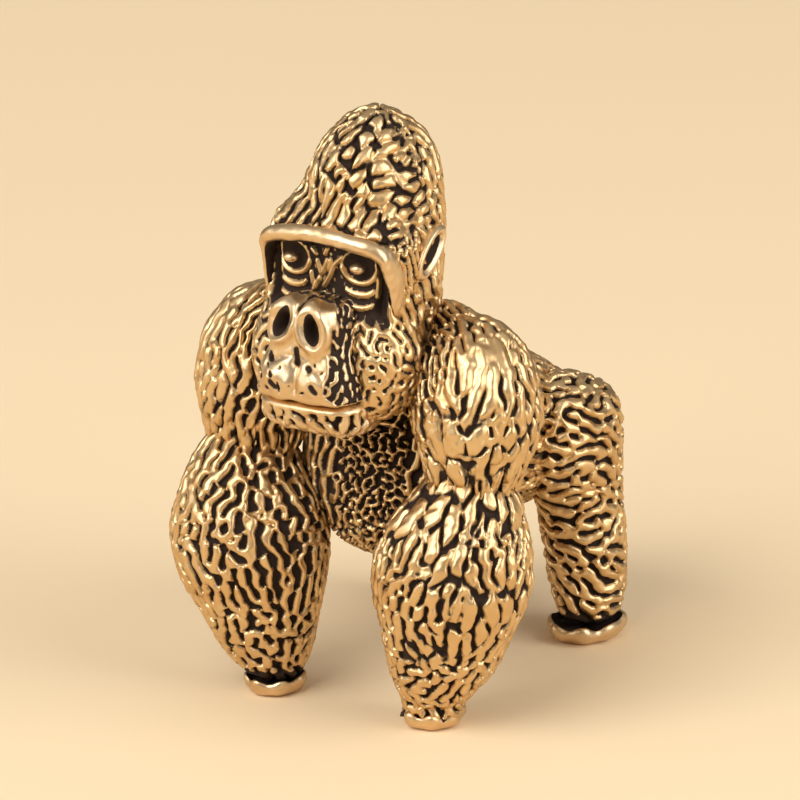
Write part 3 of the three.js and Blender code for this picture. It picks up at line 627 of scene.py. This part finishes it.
def add_node(tree, kind, inputs=None, **settings):
    """Adds a node with its settings and inputs, and returns its outputs."""
    node = tree.nodes.new(kind)
    for name, value in settings.items():
        setattr(node, name, value)
    wire(node, inputs or {})
    return node.outputs


def new_material(name):
    """A node material with only its shader and output."""
    material = bpy.data.materials.new(name)
    material.use_nodes = True
    tree = material.node_tree
    tree.nodes.clear()
    shader = tree.nodes.new("ShaderNodeBsdfPrincipled")
    add_node(tree, "ShaderNodeOutputMaterial", {"Surface": shader.outputs["BSDF"]})
    return material, shader


def brass_finish(slot):
    """Brass rubbed bright on its high places, with brown-black patina in its grooves, the same colour painted
    as shade where the pieces carry it, and paler brass on the bare pieces that is partly a painted
    reflection.
    """
    name = f"{slot}_finish"
    if name in bpy.data.materials:
        return bpy.data.materials[name]
    look = bpy.context.scene.gorilla_brass
    # On the bare cast pieces the base is the paler brass, partly polish and partly a painted reflection of
    # the lit room.
    rubbed = look.pale_brass_and_reflection if slot == "polished_brass" else look.bright_brass
    material, shader = new_material(name)
    tree = material.node_tree
    place = add_node(tree, "ShaderNodeTexCoord")["Object"]
    patina_and_shade = add_node(tree, "ShaderNodeAttribute", attribute_name="patina_and_shade")["Fac"]
    tone = add_node(tree, "ShaderNodeTexNoise", {"Vector": place, "Scale": 420, "Detail": 3})["Fac"]
    metals = {"Factor": tone, "A": (*look.warm_brass, 1), "B": (*rubbed, 1)}
    metal = add_node(tree, "ShaderNodeMix", metals, data_type="RGBA")["Result"]
    speckle = add_node(tree, "ShaderNodeTexNoise", {"Vector": place, "Scale": 2600, "Detail": 4})["Fac"]
    parts = {0: speckle, 1: 0.5, 2: patina_and_shade}
    ragged = add_node(tree, "ShaderNodeMath", parts, operation="MULTIPLY_ADD")["Value"]
    # The attribute, made ragged, mixes in the patina colour: real patina in the grooves and painted shade
    # where the pieces carry it.
    edge = {"Value": ragged, "From Min": 0.4, "From Max": 0.78}
    shade_and_stain = add_node(tree, "ShaderNodeMapRange", edge, interpolation_type="SMOOTHSTEP")["Result"]
    stained = {"Factor": shade_and_stain, "A": metal, "B": (*look.patina_and_shade, 1)}
    base = add_node(tree, "ShaderNodeMix", stained, data_type="RGBA")["Result"]
    shine = add_node(tree, "ShaderNodeMapRange", {"Value": shade_and_stain, "To Min": 1.0, "To Max": 0.0})
    rough = add_node(tree, "ShaderNodeMapRange", {"Value": shade_and_stain, "To Min": look.polish, "To Max": 0.75})
    grain = add_node(tree, "ShaderNodeBump", {"Height": speckle, "Strength": 0.25, "Distance": 0.00006})
    wire(shader, {"Base Color": base, "Metallic": shine["Result"], "Roughness": rough["Result"]})
    wire(shader, {"Specular IOR Level": 0.2, "Normal": grain["Normal"]})
    return material


def floor_finish():
    """A plain pale table top with a faint, soft unevenness."""
    look = bpy.context.scene.gorilla_stage
    material, shader = new_material("pale_floor")
    tree = material.node_tree
    place = add_node(tree, "ShaderNodeTexCoord")["Object"]
    tone = add_node(tree, "ShaderNodeTexNoise", {"Vector": place, "Scale": 9})["Fac"]
    dimmer = (0.96 * channel for channel in look.floor)
    tones = {"Factor": tone, "A": (*look.floor, 1), "B": (*dimmer, 1)}
    base = add_node(tree, "ShaderNodeMix", tones, data_type="RGBA")["Result"]
    wire(shader, {"Base Color": base, "Roughness": 0.85})
    return material


# Settings


def colour(name, description, default):
    """A setting that is a colour."""
    return bpy.props.FloatVectorProperty(name=name, description=description, default=default, subtype="COLOR")


def number(name, description, default, **limits):
    """A setting that is a number, with its limits or its unit."""
    return bpy.props.FloatProperty(name=name, description=description, default=default, **limits)


class BrassSettings(bpy.types.PropertyGroup):
    """Colours and polish of the brass."""

    bright_brass: colour("Bright brass", "Brass on the rubbed high places", (0.8, 0.6, 0.34))
    # Paler partly from polish and partly as a painted reflection of the lit room.
    pale_brass_and_reflection: colour("Pale brass", "Brass on the bare, polished pieces", (0.86, 0.7, 0.47))
    warm_brass: colour("Warm brass", "Brass where it has toned", (0.6, 0.36, 0.145))
    # This colour is also used for the painted shade that the pieces carry with their patina.
    patina_and_shade: colour("Patina", "Brown-black patina in the grooves", (0.03, 0.017, 0.011))
    polish: number("Polish", "Roughness of the rubbed brass", 0.37, min=0.02, max=1.0)


class FurSettings(bpy.types.PropertyGroup):
    """Size of the carved fur."""

    strand: number("Strand", "Spacing of the strands, in millimetres", 1.0, min=0.4, max=4.0)
    groove: number("Groove", "Depth of the grooves, in millimetres", 0.36, min=0.0, max=1.5)
    spacing: number("Spacing", "Spacing of the mesh, in millimetres", 0.085, min=0.05, max=1.0)


class StageSettings(bpy.types.PropertyGroup):
    """Floor and camera."""

    floor: colour("Floor", "Colour of the table top", (0.95, 0.745, 0.475))
    azimuth: number("Azimuth", "Turn of the camera round the figure, in degrees", 31.5)
    elevation: number("Elevation", "Camera's height angle, in degrees", 18.5)
    distance: number("Distance", "Camera's distance", 0.6, unit="LENGTH")
    view_width: number("View width", "Width of the view at the figure", 0.05424, unit="LENGTH")


# Pieces


def limb(sections, side, coarseness=1.0):
    """A limb's lobe with its mesh spaced by the setting."""
    spacing = coarseness * bpy.context.scene.gorilla_fur.spacing
    rough = lobe(sections, 60, 40, side)
    length = np.linalg.norm(np.diff(rough.points.mean(axis=1), axis=0), axis=-1).sum()
    girth = np.linalg.norm(np.roll(rough.points, -1, axis=1) - rough.points, axis=-1).sum(axis=1).max()
    return lobe(sections, int(1.25 * length / spacing), int(girth / spacing), side)


def shaded_foot(surface, patina_and_shade, seed, top=2.1):
    """Patina and painted shade that fill the hollow between a limb's lowest fur and its pad, with a ragged
    upper edge.
    """
    level = surface.points[..., 2] + 0.35 * swell(surface, 1.5, seed)
    return np.maximum(patina_and_shade, ramp(top, top - 0.3, level))


def combed(surface, flow, seed, swirl=0.0):
    """A flow over a surface, turned by an angle and wandering slowly."""
    return surface.turned(flow, swirl + 0.45 * swell(surface, 7.0, seed))


def pebble(middle, half, rows, columns, lean=0.0):
    """An ellipsoid with its poles out along X, leaned back round X by an angle in degrees.

    Returns its surface, and for every point its distance from the pole's line as a share of the outline.
    """
    fall = np.linspace(0, math.pi, rows + 1)[:, None]
    turn = turns(columns)
    lean = math.radians(lean)
    width = half[1] * np.sin(fall) * np.cos(turn)
    length = half[2] * np.sin(fall) * np.sin(turn)
    points = np.stack(
        [
            half[0] * np.cos(fall) + 0 * turn,
            width * math.cos(lean) + length * math.sin(lean),
            length * math.cos(lean) - width * math.sin(lean),
        ],
        axis=-1,
    )
    return Surface(points + np.array(middle)), np.sin(fall) + 0 * turn


def strokes(x, z, lines, width):
    """How near the front's points lie to any of some polylines: 1 on a line, falling over the width."""
    nearest = np.full(x.shape, 1e3)
    for line in lines:
        for (x0, z0), (x1, z1) in zip(line[:-1], line[1:]):
            run = (x1 - x0, z1 - z0)
            share = np.clip(((x - x0) * run[0] + (z - z0) * run[1]) / (run[0] ** 2 + run[1] ** 2), 0, 1)
            nearest = np.minimum(nearest, np.hypot(x - x0 - share * run[0], z - z0 - share * run[1]))
    return bump(nearest, width)


class PieceOperator:
    """Shared by the operators: each adds one piece, or a pair of like pieces."""

    bl_options = {"REGISTER", "UNDO"}

    def execute(self, context):
        self.build()
        return {"FINISHED"}


class AddTorso(PieceOperator, bpy.types.Operator):
    """Add the torso, from the chest to the rump"""

    bl_idname = "gorilla.torso"
    bl_label = "Torso"

    def build(self):
        surface = limb(TORSO, 1, 1.4)
        x, y, z = surface.axes
        belly = 0.8 * ramp(15.5, 10.5, z + 1.8 * swell(surface, 5.0, 18))
        neck = ramp(8.5, 5.5, np.hypot(x, y - 2.0)) * ramp(20.5, 22.5, z)
        chest = ramp(4.5, 2.5, y) * (1 - neck)
        shaded = chest * ramp(2.1, 3.1, np.abs(x - 0.8) + 0.5 * swell(surface, 2.5, 19))
        fine = np.maximum(chest - shaded, belly * (1 - neck))
        coats = (((1 - fine) * (1 - neck), 1.0, 1.5, 0.35), (fine, 0.6, 0.7, 1.1), (neck, 0.6, 1.6, 0.3))
        ends = np.maximum(ramp(6.0, 2.0, y), ramp(19.0, 22.0, y))[..., None]
        hanging = surface.laid((0, 0, -1.0))
        flow = surface.laid(ends * hanging + (1 - ends) * combed(surface, surface.along, 16))
        from_neck = surface.laid(surface.points - NECK_MIDDLE)
        flow = surface.laid(neck[..., None] * from_neck + (1 - neck[..., None]) * flow)
        # Lower cover carves more and wider grooves, which hold patina. The finer strands of the chest and
        # belly are the fur's own; the extra darkness near the neck, over the chest and belly and at the
        # chest's shaded sides is painted shade.
        cover = 0.5 - 0.82 * fine - 0.25 * neck - 0.6 * shaded
        height, patina_and_shade = fur(surface, flow, 11, coats, cover)
        trapezius = bump(np.hypot((np.abs(x) - 4.2) / 2.8, (y - 5.0) / 3.2), 1.0) * ramp(20, 23, z)
        seat("furred", "torso", surface.raised(height + 2.8 * trapezius), patina_and_shade)


class AddHead(PieceOperator, bpy.types.Operator):
    """Add the head: the crest, the furred sides, the bare face and the cheeks"""

    bl_idname = "gorilla.head"
    bl_label = "Head"

    def build(self):
        surface = self.form(250, 390)
        x, y, z = surface.axes
        front = ramp(-1.6, -3.0, y)
        bare = front * ramp(34.6, 34.0, z) * ramp(4.75, 4.45, np.abs(x))
        cheek = front * ramp(29.6, 28.4, z)
        flow = surface.laid(self.flow_of_fur(x, y, z))
        plate = bump(np.hypot((x - 0.4) / 2.9, (z - 36.2) / 1.5), 1.0) * ramp(0.5, -1.0, y)
        behind = ramp(0.5, 3.0, y)
        crest = ramp(33.8, 34.8, z + 1.6 * behind * swell(surface, 3.5, 99))
        temple = ramp(3.2, 3.8, np.abs(x)) * ramp(0.4, -0.4, y)
        temple = temple * ramp(29.5, 31, z) * (1 - crest)
        # Painted shade: low on the back of the head, toward the neck, the fur gets more grooves and patina.
        nape = ramp(30.0, 27.0, z) * ramp(-2.0, -0.5, y)
        combed_up = crest * ramp(-0.6, -1.9, x)
        cover = 0.5 + 0.25 * cheek - 0.35 * temple + 0.4 * plate
        cover = cover - 0.18 * crest * (1 - behind) - 0.2 * combed_up - 0.3 * nape
        coats = (
            ((1 - temple) * (1 - cheek), 1.0, 1.2, 0.35),
            (temple, 0.55, 1.3, 0.4),
            (cheek, 0.8, 0.55, 0.9),
        )
        fanned = 0.15 + 0.85 * ramp(-1.9, -0.6, x)
        petals = crest * ramp(0.9, 0.5, plate) * fanned * (1 - behind)
        height, patina_and_shade = fur(surface, flow, 90, coats, cover, petals)
        height = height + 0.12 * cheek * swell(surface, 2.2, 97)
        eye_height, eye_patina = self.eye_zone(x, z)
        hairs = strand_noise(surface, flow, 0.5, 0.6, 95, length=1.2)[0]
        eye_patina = np.clip(eye_patina - 0.5 * ramp(0.8, 2.0, hairs), 0, 1)
        eyes = bare * (1 - cheek)
        height = height * (1 - 0.5 * cheek) * (1 - eyes) + eye_height * eyes
        patina_and_shade = patina_and_shade * (1 - eyes) + eye_patina * eyes
        seat("furred", "head", surface.raised(height), patina_and_shade)

    def form(self, rows, columns):
        """The blend of the cranium, the face and both cheeks.

        Rays run level from an axis inside the head. Each form gives about its distance from a point, the
        distances are blended by a soft minimum, and halving finds where every ray leaves the blend.
        """
        fine = np.linspace(0, 1, 400)
        tables = []
        for sections, squareness in ((CRANIUM, 2.0), (fronted(FACE, FACE_BACK), 3.6)):
            sections = np.array(sections, float)
            curve = catmull(np.column_stack([sections[:, 1:3], sections[:, 3:] ** 2]), fine)[::-1]
            tables.append((curve, squareness))
        low, high = FACE[-1][0], CREST_TOP

        def distance(x, y, z):
            closeness = 0
            for curve, squareness in tables:
                middle = np.interp(z, curve[:, 1], curve[:, 0])
                squares = [np.interp(z, curve[:, 1], curve[:, axis], 0, 0) for axis in (2, 3)]
                halves = np.sqrt(np.maximum(squares, 1e-6))
                sized = (np.abs(x) / halves[0]) ** squareness + (np.abs(y - middle) / halves[1]) ** squareness
                closeness = closeness + np.exp((1 - sized ** (1 / squareness)) * halves[0] / HEAD_BLEND)
            places = zip((np.abs(x), y, z), CHEEK_MIDDLE, CHEEK_HALF)
            sized = np.sqrt(sum(((place - middle) / half) ** 2 for place, middle, half in places))
            closeness = closeness + np.exp((1 - sized) * CHEEK_HALF[0] / HEAD_BLEND)
            return -np.log(closeness)

        def points_at(shares, angles):
            z = ((high + low) / 2 + (high - low) / 2 * np.cos(math.pi * shares))[:, None] + 0 * angles
            axis = np.interp(z, (low, 23, 26, 33, 37, high), (-2.3, -1.8, -1.2, -0.6, 1.2, 2.2))
            turn = angles - 0.55 * np.sin(angles)
            inside, outside = np.zeros(z.shape), np.full(z.shape, 12.0)
            for _ in range(26):
                radius = (inside + outside) / 2
                within = distance(radius * np.sin(turn), axis - radius * np.cos(turn), z) < 0
                inside = np.where(within, radius, inside)
                outside = np.where(within, outside, radius)
            return np.stack([inside * np.sin(turn), axis - inside * np.cos(turn), z], axis=-1)

        return Surface(points_at(even_shares(points_at, rows), turns(columns)))

    def flow_of_fur(self, x, y, z):
        """Fur fans out over the crest, up on the right, slanting in the middle and back on the left.

        Lower down and behind it hangs over the cheeks and nape.
        """
        upper = (ramp(32.8, 35.2, z) * ramp(3.5, 0.5, y))[..., None]
        left = ramp(0.5, 3.2, x)[..., None]
        right = ramp(-0.3, -2.0, x)[..., None]
        fan = left * np.array([0, 1.0, -0.1]) + right * np.array([0, 0.5, 1.0])
        fan = fan + (1 - left - right) * np.array([0.4, 0.5, 1.0])
        return upper * fan + (1 - upper) * np.array([0, -0.35, 1.0])

    def eye_zone(self, x, z):
        """The hollow under the brow: a ringed pit and bags at each eye, a streaked bridge, dark corners."""
        across = np.abs(x) - EYE_SPREAD
        up = z - EYE_HEIGHT
        ring = np.hypot(across / 1.05, up / 0.9)
        lower = ramp(0.35, -0.25, up)
        lid = bump(ring - 1.25, 0.27) * np.maximum(lower, 0.62)
        sag = up - 0.26 * across**2
        width = ramp(1.3, 0.95, np.abs(across))
        bags = (bump(sag + 1.9, 0.3) + bump(sag + 2.75, 0.27)) * width
        streaks = strokes(x, z, EYE_STROKES, 0.22)
        ridges = np.maximum(np.maximum(lid, bags), streaks)
        corner = bump(np.abs(x) - 4.2, 0.42) * ramp(29.2, 29.8, z)
        pit = bump(ring, 0.8)
        height = 0.4 * ridges - 0.45 - 0.55 * corner - 0.3 * pit
        bridge = bump(np.hypot(x / 1.1, (z - 31.6) / 2.2), 1.0)
        patina_and_shade = (1 - ramp(0.35, 0.75, ridges)) * (1 - 0.5 * bridge)
        return height, patina_and_shade


class AddMuzzle(PieceOperator, bpy.types.Operator):
    """Add the muzzle: nose, nostrils and upper lip"""

    bl_idname = "gorilla.muzzle"
    bl_label = "Muzzle"

    def build(self):
        surface = lobe(fronted(MUZZLE, MUZZLE_BACK), 200, 340, level=True, squareness=MUZZLE_SQUARENESS)
        x, y, z = surface.axes
        front = ramp(-4.5, -5.6, y)
        up = z - NOSTRIL_HEIGHT + 0.085 * x
        nose_x = x - NOSE_MIDDLE - 0.09 * up
        across = np.abs(nose_x) - NOSTRIL_SPREAD
        tilted = across + 0.24 * up
        hole_ring = np.hypot(tilted / 0.5, up / 0.85)
        rim_ring = np.hypot(tilted / 1.0, up / 1.32)
        hole = ramp(1.15, 0.55, hole_ring) * front
        rim = bump(rim_ring - 1.0, 0.32) * front
        notch = bump(nose_x, 0.16) * ramp(29.5, 30.0, z) * front
        philtrum = bump(x, 0.32) * ramp(27.0, 26.4, z) * ramp(24.2, 24.8, z) * front
        lobes = bump(np.hypot((np.abs(x) - 1.7) / 1.3, (z - 25.3) / 1.0), 1.0) * front
        crease = bump(up + 1.95 + 0.22 * x**2, 0.2) * front * ramp(2.4, 1.8, np.abs(x))
        pocks = strand_noise(surface, surface.along, 0.8, 0.9, 125, length=0.6)[0]
        upper_lip = ramp(27.0, 26.4, z) * ramp(24.2, 24.6, z) * front
        dents = 0.85 * ramp(1.5 + 0.25 * x, 2.0 + 0.25 * x, pocks) * upper_lip
        flow = surface.laid((0.0, 0.3, 1.0))
        beside = 0.7 * ramp(-5.8, -4.2, y)
        hairs = strand_noise(surface, flow, 0.7, 0.7, 120, length=1.5)[0]
        hairs = ramp(0.1 - beside, 1.0 - beside, hairs)
        edge = np.where(x > 0, 2.3, 3.2) + 0.9 * ramp(24.5, 23.9, z)
        top = ramp(-5.9, -5.6, y) * ramp(29.2, 29.6, z) * (1 - 0.8 * hairs)
        hair = ramp(-0.15, 0.15, np.abs(x) - edge + 0.3 * swell(surface, 1.4, 122))
        hair = np.clip(hair + ramp(-5.4, -5.0, y), 0, 1)
        marks = strokes(x, z, LIP_STROKES, 0.19) * front
        bare = 0.4 * rim - hole - 0.25 * notch - 0.3 * philtrum + 0.3 * lobes - 0.12 * crease
        bare = bare - 0.25 * dents + 0.08 * swell(surface, 1.3, 5) - 0.22 * marks
        patina_and_shade = np.maximum.reduce(
            [ramp(1.25, 1.1, hole_ring) * front, dents, marks, top, 0.75 * notch, 0.3 * crease]
        )
        height = bare * (1 - hair) + hair * (0.18 * hairs - 0.2)
        patina_and_shade = patina_and_shade * (1 - hair) + hair * (1 - 0.9 * hairs)
        seat("cast", "muzzle", surface.raised(height), patina_and_shade)


class AddLowerJaw(PieceOperator, bpy.types.Operator):
    """Add the lower jaw: the lower lip and the furred chin"""

    bl_idname = "gorilla.lower_jaw"
    bl_label = "Lower jaw"

    def build(self):
        surface = lobe(fronted(JAW, MUZZLE_BACK), 90, 300, level=True, squareness=3.0)
        flow = surface.laid((0.0, 0.5, -1.0))
        height, patina_and_shade = fur(surface, flow, 140, ((1.0, 1.0, 0.7, 0.7),), 0.45, depth=0.4)
        lip = ramp(22.95, 23.1, surface.points[..., 2])
        height = height * (1 - lip) + lip * 0.12
        seat("cast", "lower_jaw", surface.raised(height), patina_and_shade * (1 - lip))


class AddBrowRidge(PieceOperator, bpy.types.Operator):
    """Add the brow bar, with its ends turned down beside the eyes"""

    bl_idname = "gorilla.brow_ridge"
    bl_label = "Brow ridge"

    def build(self):
        mirrored = [(-spread, *rest) for spread, *rest in BROW_HALF[:0:-1]]
        surface = lobe(mirrored + list(BROW_HALF), 220, 48, reference=(0, -1.0, 0))
        x, y, z = surface.axes
        height = 0.07 * swell(surface, 2.2, 8) + 0.025 * swell(surface, 0.8, 9)
        # Painted shade: the faces turned in and down toward the eyes are darkened like patina.
        inward = unit(np.stack([-x, 0 * y, EYE_HEIGHT - 1 - z], axis=-1))
        facing = np.sum(inward * surface.normals, axis=-1)
        patina_and_shade = ramp(0.5, 0.8, facing)
        seat("cast", "brow_ridge", surface.raised(height), patina_and_shade)


class AddEyes(PieceOperator, bpy.types.Operator):
    """Add both eyes, a small pellet in each pit"""

    bl_idname = "gorilla.eyes"
    bl_label = "Eyes"

    def build(self):
        for name, side in SIDES:
            surface, share = pebble((side * EYE_SPREAD, EYE_FRONT, EYE_HEIGHT), EYE_HALF, 30, 40)
            seat("cast", f"{name}_eye", surface.points, np.zeros(share.shape))


class AddEars(PieceOperator, bpy.types.Operator):
    """Add both ears, each a leaning loop round a dark hollow"""

    bl_idname = "gorilla.ears"
    bl_label = "Ears"

    def build(self):
        for name, side in SIDES:
            surface, share = pebble(on_side(EAR_MIDDLE, side), EAR_HALF, 90, 120, EAR_LEAN)
            outer = ramp(-0.2, 0.2, side * surface.normals[..., 0])
            hollow = ramp(0.8, 0.6, share) * outer
            height = 0.15 * bump(share - 0.9, 0.12) - 0.7 * hollow
            seat("cast", f"{name}_ear", surface.raised(height), ramp(0.2, 0.7, hollow))


class AddUpperArms(PieceOperator, bpy.types.Operator):
    """Add both upper arms"""

    bl_idname = "gorilla.upper_arms"
    bl_label = "Upper arms"

    def build(self):
        for name, side in SIDES:
            surface = limb(UPPER_ARM, side)
            z = surface.points[..., 2]
            seed = 30 + side
            turn = turns(surface.points.shape[1])
            wave = np.abs(np.sin(6 * turn + 0.8 * np.sin(2 * turn + side))) * (1.1 + 0.5 * np.sin(3 * turn))
            droop = ramp(20.5, 17.0, z)
            surface.points[..., 2] -= 1.1 * wave * ramp(19.5, 16.8, z)
            surface.measure()
            near = ramp(4.8, 3.6, surface.away(on_side(SHOULDER_NEAR, side)))
            plate = bump(surface.away(on_side(SHOULDER_PLATE, side)), 2.2)
            # Painted shade: the faces turned in toward the body, and near the top those turned even a little
            # inward, get many more grooves and patina and no cobbles.
            inward = -side * surface.normals[..., 0]
            inner = np.maximum(ramp(0.1, 0.5, inward) * ramp(19.0, 21.0, z), ramp(0.65, 0.9, inward))
            flow = combed(surface, surface.along, seed + 5)
            cells = ramp(24.2, 22.4, z + 0.8 * swell(surface, 4.0, seed + 6))
            bare = 0.9 if side > 0 else 0.4
            cover = 0.5 + bare * plate + 0.15 * droop + 0.25 * cells - 0.95 * inner
            petals = (0.85 if side > 0 else 0.3) * cells * (1 - droop) * (1 - inner)
            scale, length = (1.05, 1.7) if side > 0 else (0.9, 1.3)
            coats = ((near, 0.65, 1.6, 0.3), (1 - near, scale, length, 0.35))
            height, patina_and_shade = fur(surface, flow, seed, coats, cover, petals, (1.15, 2.6))
            parting = ramp(0.42, 0.22, wave) * droop
            height = height - 0.45 * parting
            patina_and_shade = np.maximum(patina_and_shade, ramp(0.3, 0.7, parting))
            seat("furred", f"{name}_upper_arm", surface.raised(height), patina_and_shade)


class AddForearms(PieceOperator, bpy.types.Operator):
    """Add both forearms"""

    bl_idname = "gorilla.forearms"
    bl_label = "Forearms"

    def build(self):
        for name, side in SIDES:
            surface = limb(FOREARM + FOREARM_ENDS[side], side)
            x, _, z = surface.axes
            blobs = ramp(8.0, 4.0, z)
            coats = ((1 - blobs, 1.0, 1.45, 0.42), (blobs, 0.9, 0.7, 0.75))
            petals = ramp(-0.25, 0.15, swell(surface, 6.0, 53 + side)) * (1 - blobs) * (side > 0)
            flow = combed(surface, surface.along, 55 + side)
            # Painted shade: the faces turned in toward the body get more grooves and patina.
            inner = ramp(0.65, 0.9, -side * surface.normals[..., 0]) * ramp(5.0, 9.0, z)
            cover = 0.5 - 0.55 * inner
            if side < 0:
                # Painted shade: the right forearm darkens toward its inner half, nearer the body.
                cover = cover - 0.05 - 0.2 * ramp(-10.0, -6.5, x)
            height, patina_and_shade = fur(surface, flow, 50 + side, coats, cover, petals, (1.0, 3.0))
            patina_and_shade = shaded_foot(surface, patina_and_shade, 58 + side, 1.0 if side > 0 else 2.1)
            seat("furred", f"{name}_forearm", surface.raised(height), patina_and_shade)


class AddLegs(PieceOperator, bpy.types.Operator):
    """Add both hind legs"""

    bl_idname = "gorilla.legs"
    bl_label = "Hind legs"

    def build(self):
        for name, side in SIDES:
            surface = limb(LEG, side)
            flow = combed(surface, surface.along, 75 + side, 1.15 * side)
            height, patina_and_shade = fur(surface, flow, 70 + side, ((1.0, 1.0, 0.9, 0.55),), 0.5)
            patina_and_shade = shaded_foot(surface, patina_and_shade, 78 + side)
            seat("furred", f"{name}_leg", surface.raised(height), patina_and_shade)


class AddPads(PieceOperator, bpy.types.Operator):
    """Add the hands and feet: smooth pads with knuckles to the front and flat soles"""

    bl_idname = "gorilla.pads"
    bl_label = "Hands and feet"

    def build(self):
        for name, side in SIDES:
            self.pad(f"{name}_hand", (side * HAND_SPREAD, HAND_PLACE), HAND_HALF, side)
            self.pad(f"{name}_foot", (side * FOOT_SPREAD, FOOT_PLACE), FOOT_HALF, side)

    def pad(self, node, place, half, side):
        """A shallow bowl with a flat sole, a rounded bright rim, a thumb and a hollow for the limb, darkened
        by patina and painted shade.

        A Catmull-Rom profile is carried round an oval. The front of the rim swells at the knuckles.
        """
        rows, columns = 110, 200
        run = np.linspace(0, 1, rows + 1)
        profile = catmull(PAD_PROFILE, run)
        turn = turns(columns)
        knuckles = np.cos(7 * turn + side) * ramp(-0.3, 0.6, -np.sin(turn))
        thumb = bump(np.angle(np.exp(1j * (turn - 0.45))), 0.4)
        reach = profile[:, :1] * (1 + 0.05 * knuckles + 0.06 * thumb)
        rise = np.maximum(profile[:, 1:], 0) * (1 + 0.12 * knuckles + 0.2 * thumb)
        points = np.stack(
            [
                place[0] + half[0] * reach * np.cos(turn),
                place[1] + half[1] * reach * np.sin(turn),
                half[2] * rise,
            ],
            axis=-1,
        )
        surface = Surface(points)
        lumps = 0.08 * swell(surface, 1.6, 160 + side) * ramp(0.05, 0.4, points[..., 2])
        # Patina and painted shade darken the hollow under the limb.
        dark = ramp(0.36, 0.3, run[:, None] + 0.03 * swell(surface, 1.2, 165 + side))
        seat("cast", node, surface.raised(lumps), dark)


class AddStage(PieceOperator, bpy.types.Operator):
    """Add the floor, the soft lights and the camera"""

    bl_idname = "gorilla.stage"
    bl_label = "Stage"

    def build(self):
        self.floor()
        self.lights()
        self.camera(bpy.context.scene.gorilla_stage)
        bpy.context.scene.view_settings.view_transform = "Standard"

    def floor(self):
        half = 2.0
        mesh = bpy.data.meshes.new("floor")
        corners = [(-half, -half, 0), (half, -half, 0), (half, half, 0), (-half, half, 0)]
        mesh.from_pydata(corners, [], [(0, 1, 2, 3)])
        mesh.materials.append(floor_finish())
        floor = add_object("floor", mesh)
        floor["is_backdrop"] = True

    def lights(self):
        world = bpy.data.worlds.new("studio")
        world.use_nodes = True
        tree = world.node_tree
        place = add_node(tree, "ShaderNodeTexCoord")["Generated"]
        up = add_node(tree, "ShaderNodeSeparateXYZ", {"Vector": place})["Z"]
        sky = add_node(tree, "ShaderNodeMapRange", {"Value": up, "To Min": 0.12, "To Max": 0.55})["Result"]
        wire(tree.nodes["Background"], {"Color": (0.92, 0.85, 0.76, 1), "Strength": sky})
        bpy.context.scene.world = world
        for softbox in SOFTBOXES:
            self.softbox(*softbox)

    def softbox(self, name, place, size, power):
        light = bpy.data.lights.new(name, "AREA")
        light.size = size
        light.energy = power
        lamp = add_object(name, light)
        lamp.location = place
        toward = Vector(LIGHT_AIM) - Vector(place)
        lamp.rotation_euler = toward.to_track_quat("-Z", "Y").to_euler()

    def camera(self, look):
        turn, lift = math.radians(look.azimuth), math.radians(look.elevation)
        right = Vector((math.cos(turn), math.sin(turn), 0))
        back = Vector((math.sin(turn) * math.cos(lift), -math.cos(turn) * math.cos(lift), math.sin(lift)))
        up = back.cross(right)
        aim = Vector((0, HANDS_LINE * MM, 0)) + right * AIM_ACROSS * MM + up * AIM_UP * MM
        data = bpy.data.cameras.new("camera")
        data.sensor_width = SENSOR
        data.lens = SENSOR * look.distance / look.view_width
        camera = add_object("camera", data)
        axes = Matrix((right, up, back)).transposed().to_4x4()
        camera.matrix_world = Matrix.Translation(aim + back * look.distance) @ axes
        bpy.context.scene.camera = camera


OPERATORS = (
    AddTorso,
    AddHead,
    AddMuzzle,
    AddLowerJaw,
    AddBrowRidge,
    AddEyes,
    AddEars,
    AddUpperArms,
    AddForearms,
    AddLegs,
    AddPads,
    AddStage,
)


class GorillaPanel(bpy.types.Panel):
    """Lists the pieces of the figure in the 3D view's sidebar"""

    bl_idname = "VIEW3D_PT_gorilla"
    bl_label = "Brass gorilla"
    bl_space_type = "VIEW_3D"
    bl_region_type = "UI"
    bl_category = "Gorilla"

    def draw(self, context):
        for operator in OPERATORS:
            self.layout.operator(operator.bl_idname)


SETTINGS = (("gorilla_brass", BrassSettings), ("gorilla_fur", FurSettings), ("gorilla_stage", StageSettings))


def register():
    for name, group in SETTINGS:
        bpy.utils.register_class(group)
        setattr(bpy.types.Scene, name, bpy.props.PointerProperty(type=group))
    for operator in OPERATORS:
        bpy.utils.register_class(operator)
    bpy.utils.register_class(GorillaPanel)


def unregister():
    bpy.utils.unregister_class(GorillaPanel)
    for operator in reversed(OPERATORS):
        bpy.utils.unregister_class(operator)
    for name, group in reversed(SETTINGS):
        delattr(bpy.types.Scene, name)
        bpy.utils.unregister_class(group)


def corners(box):
    """A box's two corners as plain lists of numbers."""
    return [list(map(float, corner)) for corner in box]


def main():
    register()
    for operator in OPERATORS:
        family, name = operator.bl_idname.split(".")
        getattr(getattr(bpy.ops, family), name)()
    {"cad": corners(CAD_BOX), "visual": corners(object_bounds())}


if __name__ == "__main__":
    main()
